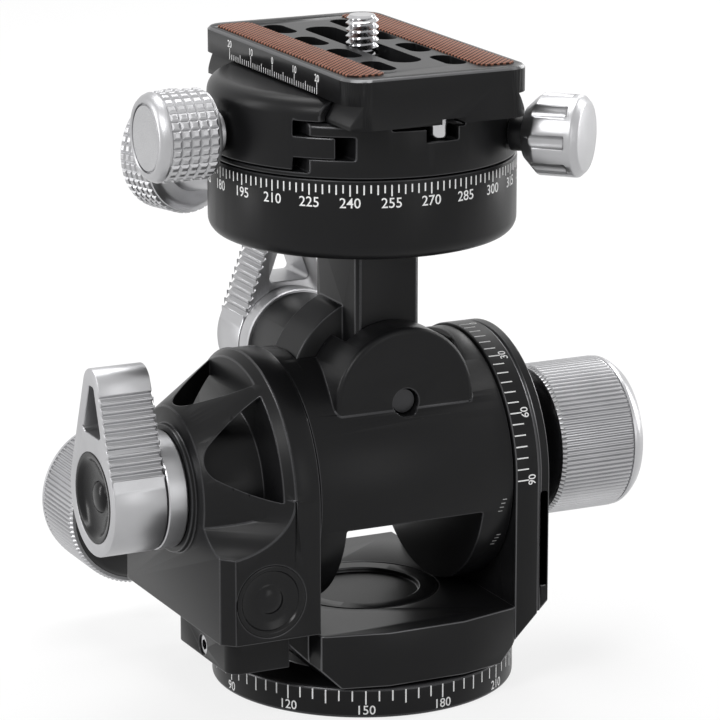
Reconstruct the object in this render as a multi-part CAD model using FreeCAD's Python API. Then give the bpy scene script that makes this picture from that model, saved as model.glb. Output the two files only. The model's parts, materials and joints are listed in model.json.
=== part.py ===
import FreeCAD, Part
import math
import os

V = FreeCAD.Vector

# Driving dimensions, millimetres.
# The origin is the centre of the foot's underside, +Z up, the front faces -Y.

# Running gap between pieces that move past each other, and radial gap of a running bearing
GAP = 0.3
FIT = 0.05

# Foot ring with the degree scale and the tripod thread
FOOT_R = 30.0
FOOT_H = 6.1
FOOT_EDGE = 0.4
FOOT_BOSS_R = 20.0
FOOT_BOSS_TOP = 15.0
FOOT_NECK_R = 10.5
FOOT_RECESS_R = 24.0
FOOT_RECESS_DEPTH = 0.8
TRIPOD_THREAD_R = 3.97
INSERT_R = 7.0
INSERT_DEPTH = 9.0

# Yoke base: a plate between the two towers with a faceted front
BASE_Z = 6.5
FLOOR_TOP = 17.4
BASE_HALF_X = 21.0
BASE_REAR_Y = 29.5
APRON_Y = -29.2
APRON_FACET_HALF = 8.0
APRON_CORNER = (20.2, -26.1)
CAP_R = 15.0
CAP_H = 1.2
CAP_RECESS_R = 11.3
CAP_RECESS_DEPTH = 0.9
SHELF_HALF_Y = 20.0
UNDERCUT_X = 17.0
UNDERCUT_Z = 6.3

# Tilt axis A runs along X at TILT_Z
TILT_Z = 42.9
TOWER_R = 25.5

# Right tower and its cover plate
RIGHT_IN_X = 21.0
RIGHT_OUT_X = 26.0
COVER_THICK = 2.3
COVER_GROOVE = 0.35
COVER_SLOT_W = 1.1
COVER_SLOT_Z = (21.0, 40.0)
RIGHT_JOURNAL_R = 9.0
RIGHT_SCREW_Y = 22.4
RIGHT_SCREW_Z = 15.2

# Left tower: flange, cone with windows, and the block that holds the tilt worm
LEFT_IN_X = -20.9
LEFT_FLANGE_X = -26.0
LEFT_OUT_X = -41.0
LEFT_HUB_X = -42.0
CONE_END_R = 16.0
HUB_R = 12.6
BLOCK_Z = 17.8
BLOCK_CORNER = 2.4
SLEEVE_R = 15.2
WINDOW_X = (-28.0, -40.0)
WINDOW_HALF = (10.6, 3.4)
WINDOW_ANGLES = (30.0, 90.0, 150.0)
SCOOP_R = 10.3
SCOOP_REACH = 46.7
SCOOP_Z = 45.0
SCOOP_NORMAL = (-0.65, -0.76)
LEFT_SCREW_Y = 14.0

# Worm drives: equal wheels and worms on both axes
TEETH = 36
WHEEL_PITCH_R = 13.0
WORM_PITCH_R = 4.0
TOOTH_UP = 0.65
TOOTH_DOWN = 0.8
TOOTH_TIP = 0.55
TOOTH_ROOT = 0.95
WHEEL_FACE = 4.0
WORM_TURNS = 4
CENTRES = WHEEL_PITCH_R + WORM_PITCH_R
PITCH = 2 * math.pi * WHEEL_PITCH_R / TEETH
WHEEL_TIP_R = WHEEL_PITCH_R + TOOTH_UP
WORM_TIP_R = WORM_PITCH_R + TOOTH_UP
WORM_SHAFT_R = 3.0

# Tilt worm shaft runs along Y under the tilt axis in the left tower
TILT_WORM_X = -31.3
TILT_WORM_Z = TILT_Z - CENTRES
WORM_CAP_R = 7.1
WORM_CAP_H = 1.6
WORM_CAP_DISH_R = 5.95
WORM_CAP_DOME_R = 2.6

# Large straight-knurled knobs
KNOB_R = 15.3
KNOB_LEN = 19.0
KNOB_BEVEL = 1.4
KNOB_NECK_R = 8.5
KNOB_STANDOFF = 3.2
TILT_KNOB_Y = 38.5
SWING_KNOB_X = 36.0

# Barrel that tilts between the towers
BARREL_R = 25.0
BARREL_FLANGE_LEFT = -14.8
BARREL_FLANGE_RIGHT = 14.3
BARREL_FLAT_Z = 37.2
ARCH_R = 14.7
ARCH_FRONT_Y = -19.5
ARCH_ROUND = 1.2
LEFT_JOURNAL_R = 8.0
LEFT_PIVOT_R = 6.0
REAR_BOSS_R = 11.0
REAR_BOSS_Y = 29.6

# Swing axis B runs along Y at SWING_Z
SWING_Z = TILT_Z + CENTRES
SWING_PIN_R = 2.3
BUSH_SETBACK = 2.2
SWING_SHAFT_R = 4.0
SWING_MIN = -10.0
SWING_MAX = 45.0

# Column and its scale horn
COLUMN_HALF_X = 6.8
COLUMN_Y = (-11.7, 7.1)
COLUMN_TOP = 90.4
COLUMN_HUB_R = 9.0
COLUMN_CHAMFER = 0.8
HORN_R = 18.2
HORN_Y = (-5.5, 4.9)
HORN_ANGLES = (106.0, 176.0)

# Upper scale ring and rotating clamp body
RING_R = 30.0
RING_TOP = 106.0
RING_EDGE = 3.0
TURN_Z = 106.3
TURN_NECK_R = 12.0
TURN_NECK_DEPTH = 6.0
CLAMP_TOP = 116.6
CLAMP_EDGE = 0.6

# Small knurled stop screw at the front of the clamp
STOP_AT = (2.4, -26.9)
STOP_R = 2.2
STOP_RECESS = 3.8
STOP_PROUD = 1.0
STOP_POCKET_R = 3.5
STOP_STEP_X = (-7.7, 7.5)
STOP_STEP_DEPTH = 1.3
STOP_STEM_R = 1.2
STOP_STEM_LEN = 3.5

# Clamp jaw
JAW_SPLIT_X = -21.1
JAW_INNER_X = -23.4
JAW_SHELF = 0.9
JAW_ROUND = 3.4
JAW_END_Y = 22.6
TONGUE_TIP_X = -17.3
TONGUE_SLOT_X = -14.0
TONGUE_Z = (109.95, 114.0)
TONGUE_IN_Y = 17.0
TONGUE_GAP = 0.15
JAW_SCREW_R = 2.0
DOVE_WIDE = 18.2
DOVE_TIP = 16.1
DOVE_FOOT = 0.9
RAIL_EDGE_X = 23.0

# Camera plate
PLATE_HALF_X = 19.0
PLATE_HALF_Y = 34.5
PLATE_BOTTOM = CLAMP_TOP + GAP
PLATE_TOP = 126.5
PLATE_FLANGE = 5.0
PLATE_CORNER = 4.7
PLATE_EDGE = 0.5
PLATE_TRAVEL = 3.0
PAD_W = 7.5
PAD_H = 0.5
PAD_PROUD = 0.3
PAD_HALF_Y = 31.0
PAD_INSET = 1.7
PAD_CORNER = 1.4
SLOT_HALF_Y = 18.2
SIDE_SLOT_X = 7.3
SIDE_SLOT_Y = (7.35, 22.05)
SIDE_SLOT_R = 2.15
SIDE_SLOT_HALF = 2.9
HEAD_ROOM_R = 6.2
HEAD_ROOM_H = 4.6
SCREW_R = 3.175
SCREW_HEIGHT = 5.8
SCREW_NECK_R = 2.7
SCREW_CHAMFER = 0.7

# Levers, the same part on both axes
LEVER_HUB_R = 11.5
LEVER_TIP_R = 4.1
LEVER_REACH = 21.5
LEVER_THICK = 10.8
LEVER_TEETH = 10
LEVER_TOOTH_PITCH = 1.57
LEVER_TOOTH_START = 6.5
LEVER_CAP_R = 8.9
LEVER_CAP_H = 2.2
STUD_R = 2.5
COLLAR_R = 11.5
COLLAR_LEN = 4.5
TILT_LEVER_X = LEFT_HUB_X - COLLAR_LEN
SWING_LEVER_Y = REAR_BOSS_Y + COLLAR_LEN

# Small knobs on the clamp and ring
JAW_KNOB_R = 8.7
JAW_KNOB_LEN = 12.8
JAW_KNOB_X = -32.7
JAW_KNOB_Z = 112.0
RING_KNOB_R = 12.3
RING_KNOB_LEN = 10.0
RING_KNOB_Z = 97.2
RING_KNOB_ANGLE = 107.0
RING_KNOB_REACH = 50.0
FLUTED_KNOB_R = 7.9
FLUTED_KNOB_LEN = 11.8
FLUTED_KNOB_Z = 111.4
FLUTED_KNOB_ANGLE = -45.0
FLUTED_KNOB_REACH = 33.4

# Pan lock in the housing under the left tower
LOCK_HOUSING_X = (-38.5, -24.0)
LOCK_HOUSING_Y = (-22.0, 4.4)
LOCK_HOUSING_Z = (10.8, 17.6)
LOCK_AXIS_Y = -8.8
LOCK_AXIS_Z = 13.2
LOCK_SHOE_R = 1.5
LOCK_SCREW_R = 1.9
LOCK_TRAVEL = 0.5


def cyl(radius, length, base, axis):
    """Solid cylinder from base along axis."""
    return Part.makeCylinder(radius, length, V(*base), V(*axis))


def tube(outer, inner, length, base, axis):
    """Round sleeve from base along axis."""
    return cyl(outer, length, base, axis).cut(cyl(inner, length, base, axis))


def cone(r_base, r_end, length, base, axis):
    """Frustum from base along axis."""
    return Part.makeCone(r_base, r_end, length, V(*base), V(*axis))


def block(x0, x1, y0, y1, z0, z1):
    """Box between two corners."""
    return Part.makeBox(x1 - x0, y1 - y0, z1 - z0, V(x0, y0, z0))


def prism(points, direction):
    """Extrude the closed outline of 3-D points along direction."""
    outline = Part.makePolygon([V(*p) for p in points] + [V(*points[0])])
    return Part.Face(outline).extrude(V(*direction))


def turned(profile, base, axis):
    """Revolve (radius, distance) points about an axis from base."""
    outline = Part.makePolygon([V(r, 0, d) for r, d in profile + profile[:1]])
    solid = Part.Face(outline).revolve(V(0, 0, 0), V(0, 0, 1), 360)
    return placed(solid, base, axis)


def placed(shape, base, axis):
    """Move a shape made along +Z so that it starts at base and follows axis."""
    turn = FreeCAD.Rotation(V(0, 0, 1), V(*axis))
    shape.Placement = FreeCAD.Placement(V(*base), turn).multiply(shape.Placement)
    return shape


def edges_where(shape, test):
    """Edges whose centre of gravity passes the test."""
    return [edge for edge in shape.Edges if test(edge.CenterOfMass, edge)]


def tilted_about_y(points, degrees):
    """Turn XZ points about the swing axis; positive swings towards +X."""
    angle = math.radians(degrees)
    turned_points = []
    for x, z in points:
        up = z - SWING_Z
        turned_points.append((x * math.cos(angle) + up * math.sin(angle),
                              SWING_Z - x * math.sin(angle) + up * math.cos(angle)))
    return turned_points


def radial(angle_deg):
    """Unit direction in plan at an angle from +X."""
    angle = math.radians(angle_deg)
    return (math.cos(angle), math.sin(angle), 0)


def worm_thread(core_r, tip_r):
    """Right-hand thread along +Z, centred on z 0, that passes +X at each whole pitch."""
    start = -WORM_TURNS / 2 * PITCH
    helix = Part.makeHelix(PITCH, WORM_TURNS * PITCH, core_r)
    inner = core_r - 0.3
    section = Part.makePolygon([V(inner, 0, -TOOTH_ROOT / 2), V(tip_r, 0, -TOOTH_TIP / 2),
                                V(tip_r, 0, TOOTH_TIP / 2), V(inner, 0, TOOTH_ROOT / 2),
                                V(inner, 0, -TOOTH_ROOT / 2)])
    ridge = Part.Wire(helix).makePipeShell([section], True, True)
    ridge.translate(V(0, 0, start))
    return ridge


def worm(shaft_from, shaft_to):
    """Worm and shaft along +Z, thread centred on z 0."""
    core_r = WORM_PITCH_R - TOOTH_DOWN
    half = WORM_TURNS / 2 * PITCH + 1.2
    body = cyl(core_r, 2 * half, (0, 0, -half), (0, 0, 1))
    shaft = cyl(WORM_SHAFT_R, shaft_to - shaft_from, (0, 0, shaft_from), (0, 0, 1))
    return body.fuse(shaft).fuse(worm_thread(core_r, WORM_TIP_R)).removeSplitter()


def wheel_blank(bore_r):
    """Worm wheel along +Z from z 0 with a gap between teeth at -Y."""
    root_r = WHEEL_PITCH_R - TOOTH_DOWN
    disc = tube(root_r, bore_r, WHEEL_FACE, (0, 0, 0), (0, 0, 1))
    step = 2 * math.pi / TEETH
    teeth = []
    for i in range(TEETH):
        at = -math.pi / 2 + (i + 0.5) * step
        out = V(math.cos(at), math.sin(at), 0)
        side = V(-math.sin(at), math.cos(at), 0)
        corners = [out * (root_r - 0.2) - side * (TOOTH_ROOT / 2), out * WHEEL_TIP_R - side * (TOOTH_TIP / 2),
                   out * WHEEL_TIP_R + side * (TOOTH_TIP / 2), out * (root_r - 0.2) + side * (TOOTH_ROOT / 2)]
        teeth.append(prism([tuple(c) for c in corners], (0, 0, WHEEL_FACE)))
    return disc.multiFuse(teeth).removeSplitter()


def knurled_knob(base, axis, outward_len):
    """Large knob: bevelled drum with a shallow dished end."""
    r, b, n = KNOB_R, KNOB_BEVEL, outward_len
    profile = [(WORM_SHAFT_R, 0), (r - 2.2, 0), (r, b), (r, n - b), (r - b, n), (r - 3.4, n),
               (r - 4.2, n - 0.8), (0, n - 0.8), (0, 4.0), (WORM_SHAFT_R, 4.0)]
    return turned(profile, base, axis)


def foot_ring():
    body = cyl(FOOT_R, FOOT_H, (0, 0, 0), (0, 0, 1))
    body = body.makeChamfer(FOOT_EDGE, edges_where(body, lambda c, e: e.Length > 100))
    body = body.fuse(cyl(FOOT_BOSS_R, FOOT_BOSS_TOP, (0, 0, 0), (0, 0, 1)))
    body = body.fuse(cyl(FOOT_NECK_R, FLOOR_TOP - CAP_H, (0, 0, 0), (0, 0, 1)))
    body = body.cut(tube(FOOT_RECESS_R, FOOT_RECESS_R - 8, FOOT_RECESS_DEPTH, (0, 0, 0), (0, 0, 1)))
    return body.cut(cyl(INSERT_R, INSERT_DEPTH, (0, 0, 0), (0, 0, 1)))


def tripod_insert():
    return tube(INSERT_R, TRIPOD_THREAD_R, INSERT_DEPTH, (0, 0, 0), (0, 0, 1))


def pan_cap():
    top = FLOOR_TOP - 0.05
    cap = cyl(CAP_R, CAP_H - 0.05, (0, 0, FLOOR_TOP - CAP_H), (0, 0, 1))
    return cap.cut(cyl(CAP_RECESS_R, CAP_RECESS_DEPTH, (0, 0, top - CAP_RECESS_DEPTH), (0, 0, 1)))


def base_outline(z):
    """Plan outline of the base plate with the three front facets."""
    cx, cy = APRON_CORNER
    return [(-BASE_HALF_X, BASE_REAR_Y, z), (-BASE_HALF_X, -TOWER_R, z), (-cx, cy, z),
            (-APRON_FACET_HALF, APRON_Y, z), (APRON_FACET_HALF, APRON_Y, z), (cx, cy, z),
            (BASE_HALF_X, -TOWER_R, z), (BASE_HALF_X, BASE_REAR_Y, z)]


def undercut(side):
    """Wedge below the 45 degree underside of one side."""
    x = side * UNDERCUT_X
    far = side * (UNDERCUT_X + 30)
    return prism([(x, -40, UNDERCUT_Z), (far, -40, UNDERCUT_Z + 30), (far, -40, UNDERCUT_Z - 1),
                  (x, -40, UNDERCUT_Z - 1)], (0, 80, 0))


def yoke_base():
    plate = prism(base_outline(BASE_Z), (0, 0, FLOOR_TOP - BASE_Z))
    plate = plate.fuse(block(LEFT_FLANGE_X + 0.1, 0, -SHELF_HALF_Y, SHELF_HALF_Y, BASE_Z, BLOCK_Z))
    plate = plate.cut(block(LEFT_IN_X, 0, -60, 60, FLOOR_TOP, 40))
    for side in (-1, 1):
        plate = plate.cut(undercut(side))
    plate = plate.cut(cyl(FOOT_BOSS_R + FIT, FOOT_BOSS_TOP + 0.1 - BASE_Z, (0, 0, BASE_Z), (0, 0, 1)))
    plate = plate.cut(cyl(FOOT_NECK_R + GAP, 20, (0, 0, BASE_Z), (0, 0, 1)))
    plate = plate.cut(cyl(CAP_R + GAP, CAP_H + 0.1, (0, 0, FLOOR_TOP - CAP_H - 0.1), (0, 0, 1)))
    plate = plate.cut(tower_screw_set(GAP / 3))
    return plate.cut(cyl(LOCK_SHOE_R + FIT, 11, (LEFT_FLANGE_X, LOCK_AXIS_Y, LOCK_AXIS_Z), (1, 0, 0)))


def tower_screw_set(extra):
    """Socket screws that hold both towers: from the side on the right, from below on the left."""
    screws = []
    for y in (-RIGHT_SCREW_Y, RIGHT_SCREW_Y):
        screws.append(socket_screw((RIGHT_OUT_X - 2.0, y, RIGHT_SCREW_Z), (-1, 0, 0), extra))
    for y in (-LEFT_SCREW_Y, LEFT_SCREW_Y):
        screws.append(socket_screw((-23.4, y, 14.4), (0, 0, 1), extra))
    return Part.makeCompound(screws)


def socket_screw(head_at, axis, extra):
    """One cap screw; with extra it is the hole that takes it, open behind the head."""
    shank = cyl(1.4 + extra, 9.0, head_at, axis)
    if extra:
        behind = tuple(p - 6.0 * a for p, a in zip(head_at, axis))
        return shank.fuse(cyl(2.1 + extra, 8.0, behind, axis))
    return shank.fuse(cyl(2.1, 2.0, head_at, axis)).cut(cyl(1.1, 1.0, head_at, axis))


def tower_outline(x, radius, bottom):
    """Arch face in the plane x, round about the tilt axis."""
    left, right = V(x, -radius, bottom), V(x, radius, bottom)
    spring_l, spring_r = V(x, -radius, TILT_Z), V(x, radius, TILT_Z)
    top = V(x, 0, TILT_Z + radius)
    edges = [Part.makeLine(left, spring_l), Part.Arc(spring_l, top, spring_r).toShape(),
             Part.makeLine(spring_r, right), Part.makeLine(right, left)]
    return Part.Face(Part.Wire(edges))


def right_tower():
    tower = tower_outline(RIGHT_IN_X, TOWER_R, UNDERCUT_Z).extrude(V(RIGHT_OUT_X - RIGHT_IN_X, 0, 0))
    tower = tower.cut(undercut(1))
    tower = tower.cut(cyl(RIGHT_JOURNAL_R + FIT, 20, (RIGHT_IN_X - 1, 0, TILT_Z), (1, 0, 0)))
    return tower.cut(tower_screw_set(GAP / 3))


def right_cover():
    x0 = RIGHT_OUT_X
    cover = tower_outline(x0, TOWER_R, UNDERCUT_Z).extrude(V(COVER_THICK, 0, 0))
    inner = tower_outline(x0, TOWER_R - COVER_GROOVE, UNDERCUT_Z).extrude(V(COVER_GROOVE, 0, 0))
    rim = tower_outline(x0, TOWER_R, UNDERCUT_Z).extrude(V(COVER_GROOVE, 0, 0)).cut(inner)
    cover = cover.cut(rim).cut(undercut(1))
    cover = cover.cut(cyl(RIGHT_JOURNAL_R + FIT, 20, (x0 - 1, 0, TILT_Z), (1, 0, 0)))
    z0, z1 = COVER_SLOT_Z
    mid = x0 + COVER_THICK / 2
    for side in (-1, 1):
        slot = block(mid - COVER_SLOT_W / 2, mid + COVER_SLOT_W / 2, side * TOWER_R - 2.5, side * TOWER_R + 2.5,
                     z0, z1)
        cover = cover.cut(slot)
    return cover


def window_cut(angle_deg):
    """Radial prism that opens one window of the left cone."""
    ring_x, hub_x = WINDOW_X
    wide, narrow = WINDOW_HALF
    angle = math.radians(angle_deg)
    out = V(0, -math.cos(angle), math.sin(angle))
    side = V(0, math.sin(angle), math.cos(angle))
    start = V(0, 0, TILT_Z) + out * (SLEEVE_R * 0.7)

    def at(x, across):
        return start + V(x, 0, 0) + side * across

    mid_x = (ring_x + hub_x) / 2 - 2.4
    mid_half = (wide + narrow) / 2 - 1.8
    edges = [Part.makeLine(at(ring_x, wide), at(ring_x, -wide)),
             Part.Arc(at(ring_x, -wide), at(mid_x, -mid_half), at(hub_x + 1.5, -narrow)).toShape(),
             Part.Arc(at(hub_x + 1.5, -narrow), at(hub_x, 0), at(hub_x + 1.5, narrow)).toShape(),
             Part.Arc(at(hub_x + 1.5, narrow), at(mid_x, mid_half), at(ring_x, wide)).toShape()]
    return Part.Face(Part.Wire(edges)).extrude(out * 30).cut(
        cyl(SLEEVE_R, 30, (LEFT_OUT_X - 2, 0, TILT_Z), (1, 0, 0)))


def scoop_cut(side):
    """Concave cylinder that hollows the corner over the worm block; side -1 is the front."""
    nx, ny = SCOOP_NORMAL
    normal = V(nx, -side * ny, 0)
    along = V(-normal.y, normal.x, 0)
    centre = normal * SCOOP_REACH + V(0, 0, SCOOP_Z)
    return Part.makeCylinder(SCOOP_R, 80, centre - along * 40, along)


def left_tower():
    flange = tower_outline(LEFT_FLANGE_X, TOWER_R, BLOCK_Z).extrude(V(LEFT_IN_X - LEFT_FLANGE_X, 0, 0))
    cage = cone(TOWER_R - 0.1, CONE_END_R, LEFT_FLANGE_X - LEFT_OUT_X, (LEFT_FLANGE_X, 0, TILT_Z), (-1, 0, 0))
    worm_block = block(LEFT_OUT_X, LEFT_FLANGE_X, -TOWER_R, TOWER_R, BLOCK_Z, SCOOP_Z)
    corners = edges_where(worm_block, lambda c, e: abs(c.x - LEFT_OUT_X) < 0.01 and abs(c.z - 31.4) < 2)
    worm_block = worm_block.makeChamfer(BLOCK_CORNER, corners)
    for side in (-1, 1):
        worm_block = worm_block.cut(scoop_cut(side))
    hub = cyl(HUB_R, LEFT_OUT_X - LEFT_HUB_X + 4, (LEFT_HUB_X, 0, TILT_Z), (1, 0, 0))
    body = flange.fuse(cage).fuse(worm_block).fuse(hub)
    for angle in WINDOW_ANGLES:
        body = body.cut(window_cut(angle))
    wheel_end = TILT_WORM_X - WHEEL_FACE / 2 - GAP
    body = body.cut(cyl(WHEEL_TIP_R + 0.5, LEFT_IN_X - wheel_end + 1, (wheel_end, 0, TILT_Z), (1, 0, 0)))
    body = body.cut(cyl(LEFT_PIVOT_R + FIT, 40, (LEFT_HUB_X - 1, 0, TILT_Z), (1, 0, 0)))
    body = body.cut(cyl(WORM_TIP_R + 0.35, 2 * TOWER_R + 2, (TILT_WORM_X, -TOWER_R - 1, TILT_WORM_Z), (0, 1, 0)))
    body = body.cut(cyl(WORM_CAP_R, WORM_CAP_H, (TILT_WORM_X, -TOWER_R, TILT_WORM_Z), (0, 1, 0)))
    return body.cut(tower_screw_set(GAP / 3)).removeSplitter()


def worm_cap():
    dish = WORM_CAP_DISH_R
    deep = WORM_CAP_H - 0.5
    shape = turned([(0, 0), (WORM_CAP_R, 0), (WORM_CAP_R, WORM_CAP_H), (dish, WORM_CAP_H),
                    (WORM_CAP_DOME_R + 0.6, WORM_CAP_H - deep), (WORM_CAP_DOME_R, WORM_CAP_H - deep),
                    (WORM_CAP_DOME_R - 0.4, WORM_CAP_H - 0.5), (0, WORM_CAP_H - 0.15)],
                   (TILT_WORM_X, -TOWER_R + WORM_CAP_H, TILT_WORM_Z), (0, -1, 0))
    return shape


def worm_bush(end_y, length):
    """Bronze bush in the block that carries the tilt worm's shaft."""
    return tube(WORM_TIP_R + 0.35, WORM_SHAFT_R + FIT, length, (TILT_WORM_X, end_y, TILT_WORM_Z), (0, 1, 0))


def worm_bushes():
    front = worm_bush(-TOWER_R + WORM_CAP_H + 0.2, 8.0)
    rear = worm_bush(TOWER_R - 10.0, 10.0)
    return Part.makeCompound([front, rear])


def tilt_worm():
    shape = worm(-TOWER_R + WORM_CAP_H + 0.6, TILT_KNOB_Y + 4.0)
    shape.Placement = FreeCAD.Placement(V(TILT_WORM_X, 0, TILT_WORM_Z), rotation_from(V(0, 0, 1), V(0, 1, 0)))
    return shape


def rotation_from(x_image, z_image):
    """Rotation that sends +X to x_image and +Z to z_image."""
    y_image = z_image.cross(x_image)
    matrix = FreeCAD.Matrix(x_image.x, y_image.x, z_image.x, 0, x_image.y, y_image.y, z_image.y, 0,
                            x_image.z, y_image.z, z_image.z, 0, 0, 0, 0, 1)
    return FreeCAD.Placement(matrix).Rotation


def tilt_knob():
    neck = cone(KNOB_NECK_R, KNOB_R - 2.2, KNOB_STANDOFF, (TILT_WORM_X, TILT_KNOB_Y - KNOB_STANDOFF, TILT_WORM_Z),
                (0, 1, 0))
    neck = neck.cut(cyl(WORM_SHAFT_R, 20, (TILT_WORM_X, TILT_KNOB_Y - 10, TILT_WORM_Z), (0, 1, 0)))
    return knurled_knob((TILT_WORM_X, TILT_KNOB_Y, TILT_WORM_Z), (0, 1, 0), KNOB_LEN).fuse(neck).removeSplitter()


def knob_spacer_tilt():
    """Fixed collar between the left tower and the tilt knob."""
    start = TOWER_R
    return tube(KNOB_NECK_R, WORM_SHAFT_R + FIT, TILT_KNOB_Y - KNOB_STANDOFF - GAP - start,
                (TILT_WORM_X, start, TILT_WORM_Z), (0, 1, 0))


def barrel():
    x0, x1 = LEFT_IN_X + GAP, RIGHT_IN_X - GAP
    body = cyl(BARREL_R, x1 - x0, (x0, 0, TILT_Z), (1, 0, 0))
    arch = cyl(ARCH_R, -ARCH_FRONT_Y, (0, ARCH_FRONT_Y, SWING_Z), (0, 1, 0))
    arch = arch.fuse(block(-ARCH_R, ARCH_R, ARCH_FRONT_Y, 0, TILT_Z, SWING_Z)).removeSplitter()
    rim = edges_where(arch, lambda c, e: abs(c.y - ARCH_FRONT_Y) < 0.01 and c.z > SWING_Z - 1)
    arch = arch.makeFillet(ARCH_ROUND, rim)
    body = body.fuse(arch)
    body = body.cut(block(BARREL_FLANGE_LEFT, BARREL_FLANGE_RIGHT, -40, 40, 0, BARREL_FLAT_Z))
    body = body.fuse(cyl(REAR_BOSS_R, REAR_BOSS_Y, (0, 0, SWING_Z), (0, 1, 0)))
    body = body.cut(column_slot())
    body = body.cut(cyl(WORM_TIP_R + 0.3, 60, (-9.0, 0, TILT_Z), (1, 0, 0)))
    body = body.cut(cyl(SWING_SHAFT_R + FIT, 80, (0, -12.5, SWING_Z), (0, 1, 0)))
    body = body.cut(cyl(SWING_PIN_R + 0.4, 8, (0, ARCH_FRONT_Y - 1, SWING_Z), (0, 1, 0)))
    left = cyl(LEFT_JOURNAL_R, x0 - TILT_WORM_X - WHEEL_FACE / 2, (x0, 0, TILT_Z), (-1, 0, 0))
    pivot = cyl(LEFT_PIVOT_R, x0 - LEFT_HUB_X - 0.4, (x0, 0, TILT_Z), (-1, 0, 0))
    right = tube(RIGHT_JOURNAL_R, WORM_TIP_R + 0.3, RIGHT_OUT_X + COVER_THICK - x1, (x1, 0, TILT_Z), (1, 0, 0))
    body = body.fuse(left).fuse(pivot).fuse(right)
    body = body.cut(cyl(STUD_R + FIT, 16, (LEFT_HUB_X + 0.4, 0, TILT_Z), (1, 0, 0)))
    return body.removeSplitter()


def column_slot():
    """Room in the barrel for the column, its horn and the swing wheel."""
    y0, y1 = COLUMN_Y[0] - GAP, COLUMN_Y[1] + GAP
    half = COLUMN_HALF_X + GAP
    high = 40
    left = tilted_about_y([(-half, SWING_Z), (-half, SWING_Z + high)], SWING_MIN)
    right = tilted_about_y([(half, SWING_Z), (half, SWING_Z + high)], SWING_MAX)
    outline = left + [right[1], right[0], (0, SWING_Z - half)]
    slot = prism([(x, y0, z) for x, z in outline], (0, y1 - y0, 0))
    slot = slot.fuse(cyl(COLUMN_HUB_R + GAP, y1 - y0, (0, y0, SWING_Z), (0, 1, 0)))
    wheel = cyl(WHEEL_TIP_R + 0.4, WHEEL_FACE + 2 * GAP, (0, -WHEEL_FACE / 2 - GAP, SWING_Z), (0, 1, 0))
    wheel_top = block(-WHEEL_TIP_R - 0.4, WHEEL_TIP_R + 0.4, -WHEEL_FACE / 2 - GAP, WHEEL_FACE / 2 + GAP,
                      SWING_Z, SWING_Z + 20)
    horn = cyl(HORN_R + 0.4, HORN_Y[1] - HORN_Y[0] + 2 * GAP, (0, HORN_Y[0] - GAP, SWING_Z), (0, 1, 0))
    horn = horn.cut(block(-40, 40, -40, 40, 0, SWING_Z - 7.0))
    return slot.fuse(wheel).fuse(wheel_top).fuse(horn)


def tilt_wheel():
    wheel = wheel_blank(LEFT_PIVOT_R)
    wheel.Placement = FreeCAD.Placement(V(TILT_WORM_X - WHEEL_FACE / 2, 0, TILT_Z),
                                        rotation_from(V(0, 1, 0), V(1, 0, 0)))
    return wheel


def swing_wheel():
    wheel = wheel_blank(SWING_SHAFT_R)
    wheel.Placement = FreeCAD.Placement(V(0, -WHEEL_FACE / 2, SWING_Z), rotation_from(V(-1, 0, 0), V(0, 1, 0)))
    return wheel


def swing_worm():
    shape = worm(-8.0, SWING_KNOB_X + 4.0)
    shape.Placement = FreeCAD.Placement(V(0, 0, TILT_Z), rotation_from(V(0, 0, 1), V(1, 0, 0)))
    return shape


def swing_worm_bush():
    x0 = WORM_TURNS / 2 * PITCH + BUSH_SETBACK + GAP
    return tube(WORM_TIP_R + 0.3, WORM_SHAFT_R + FIT, RIGHT_OUT_X + COVER_THICK - x0, (x0, 0, TILT_Z), (1, 0, 0))


def swing_knob():
    start = SWING_KNOB_X
    knob = knurled_knob((start, 0, TILT_Z), (1, 0, 0), KNOB_LEN + 1.0)
    neck = cone(KNOB_NECK_R, KNOB_R - 2.2, KNOB_STANDOFF, (start - KNOB_STANDOFF, 0, TILT_Z), (1, 0, 0))
    neck = neck.cut(cyl(WORM_SHAFT_R, 20, (start - 10, 0, TILT_Z), (1, 0, 0)))
    return knob.fuse(neck).removeSplitter()


def knob_spacer_swing():
    start = RIGHT_OUT_X + COVER_THICK
    return tube(KNOB_NECK_R, WORM_SHAFT_R + FIT, SWING_KNOB_X - KNOB_STANDOFF - GAP - start,
                (start, 0, TILT_Z), (1, 0, 0))


def horn_sector():
    """Scale horn: a drum sector on the left of the column."""
    a0, a1 = (math.radians(a) for a in HORN_ANGLES)
    y0, y1 = HORN_Y

    def at(radius, angle):
        return V(radius * math.cos(angle), y0, SWING_Z + radius * math.sin(angle))

    inner = COLUMN_HUB_R - 1.0
    middle = (a0 + a1) / 2
    edges = [Part.makeLine(at(inner, a0), at(HORN_R, a0)),
             Part.Arc(at(HORN_R, a0), at(HORN_R, middle), at(HORN_R, a1)).toShape(),
             Part.makeLine(at(HORN_R, a1), at(inner, a1)),
             Part.Arc(at(inner, a1), at(inner, middle), at(inner, a0)).toShape()]
    return Part.Face(Part.Wire(edges)).extrude(V(0, y1 - y0, 0))


def column():
    y0, y1 = COLUMN_Y
    post = block(-COLUMN_HALF_X, COLUMN_HALF_X, y0, y1, SWING_Z, COLUMN_TOP)
    upright = edges_where(post, lambda c, e: abs(c.z - (SWING_Z + COLUMN_TOP) / 2) < 0.1)
    post = post.makeChamfer(COLUMN_CHAMFER, upright)
    body = post.fuse(cyl(COLUMN_HUB_R, y1 - y0, (0, y0, SWING_Z), (0, 1, 0))).fuse(horn_sector())
    wheel_room = tube(WHEEL_TIP_R + 0.02, 0.1, WHEEL_FACE, (0, -WHEEL_FACE / 2, SWING_Z), (0, 1, 0))
    body = body.cut(wheel_room).cut(ring_bolt_set(0.0))
    body = body.cut(cyl(SWING_SHAFT_R, 60, (0, -30, SWING_Z), (0, 1, 0)))
    return body.removeSplitter()


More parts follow.
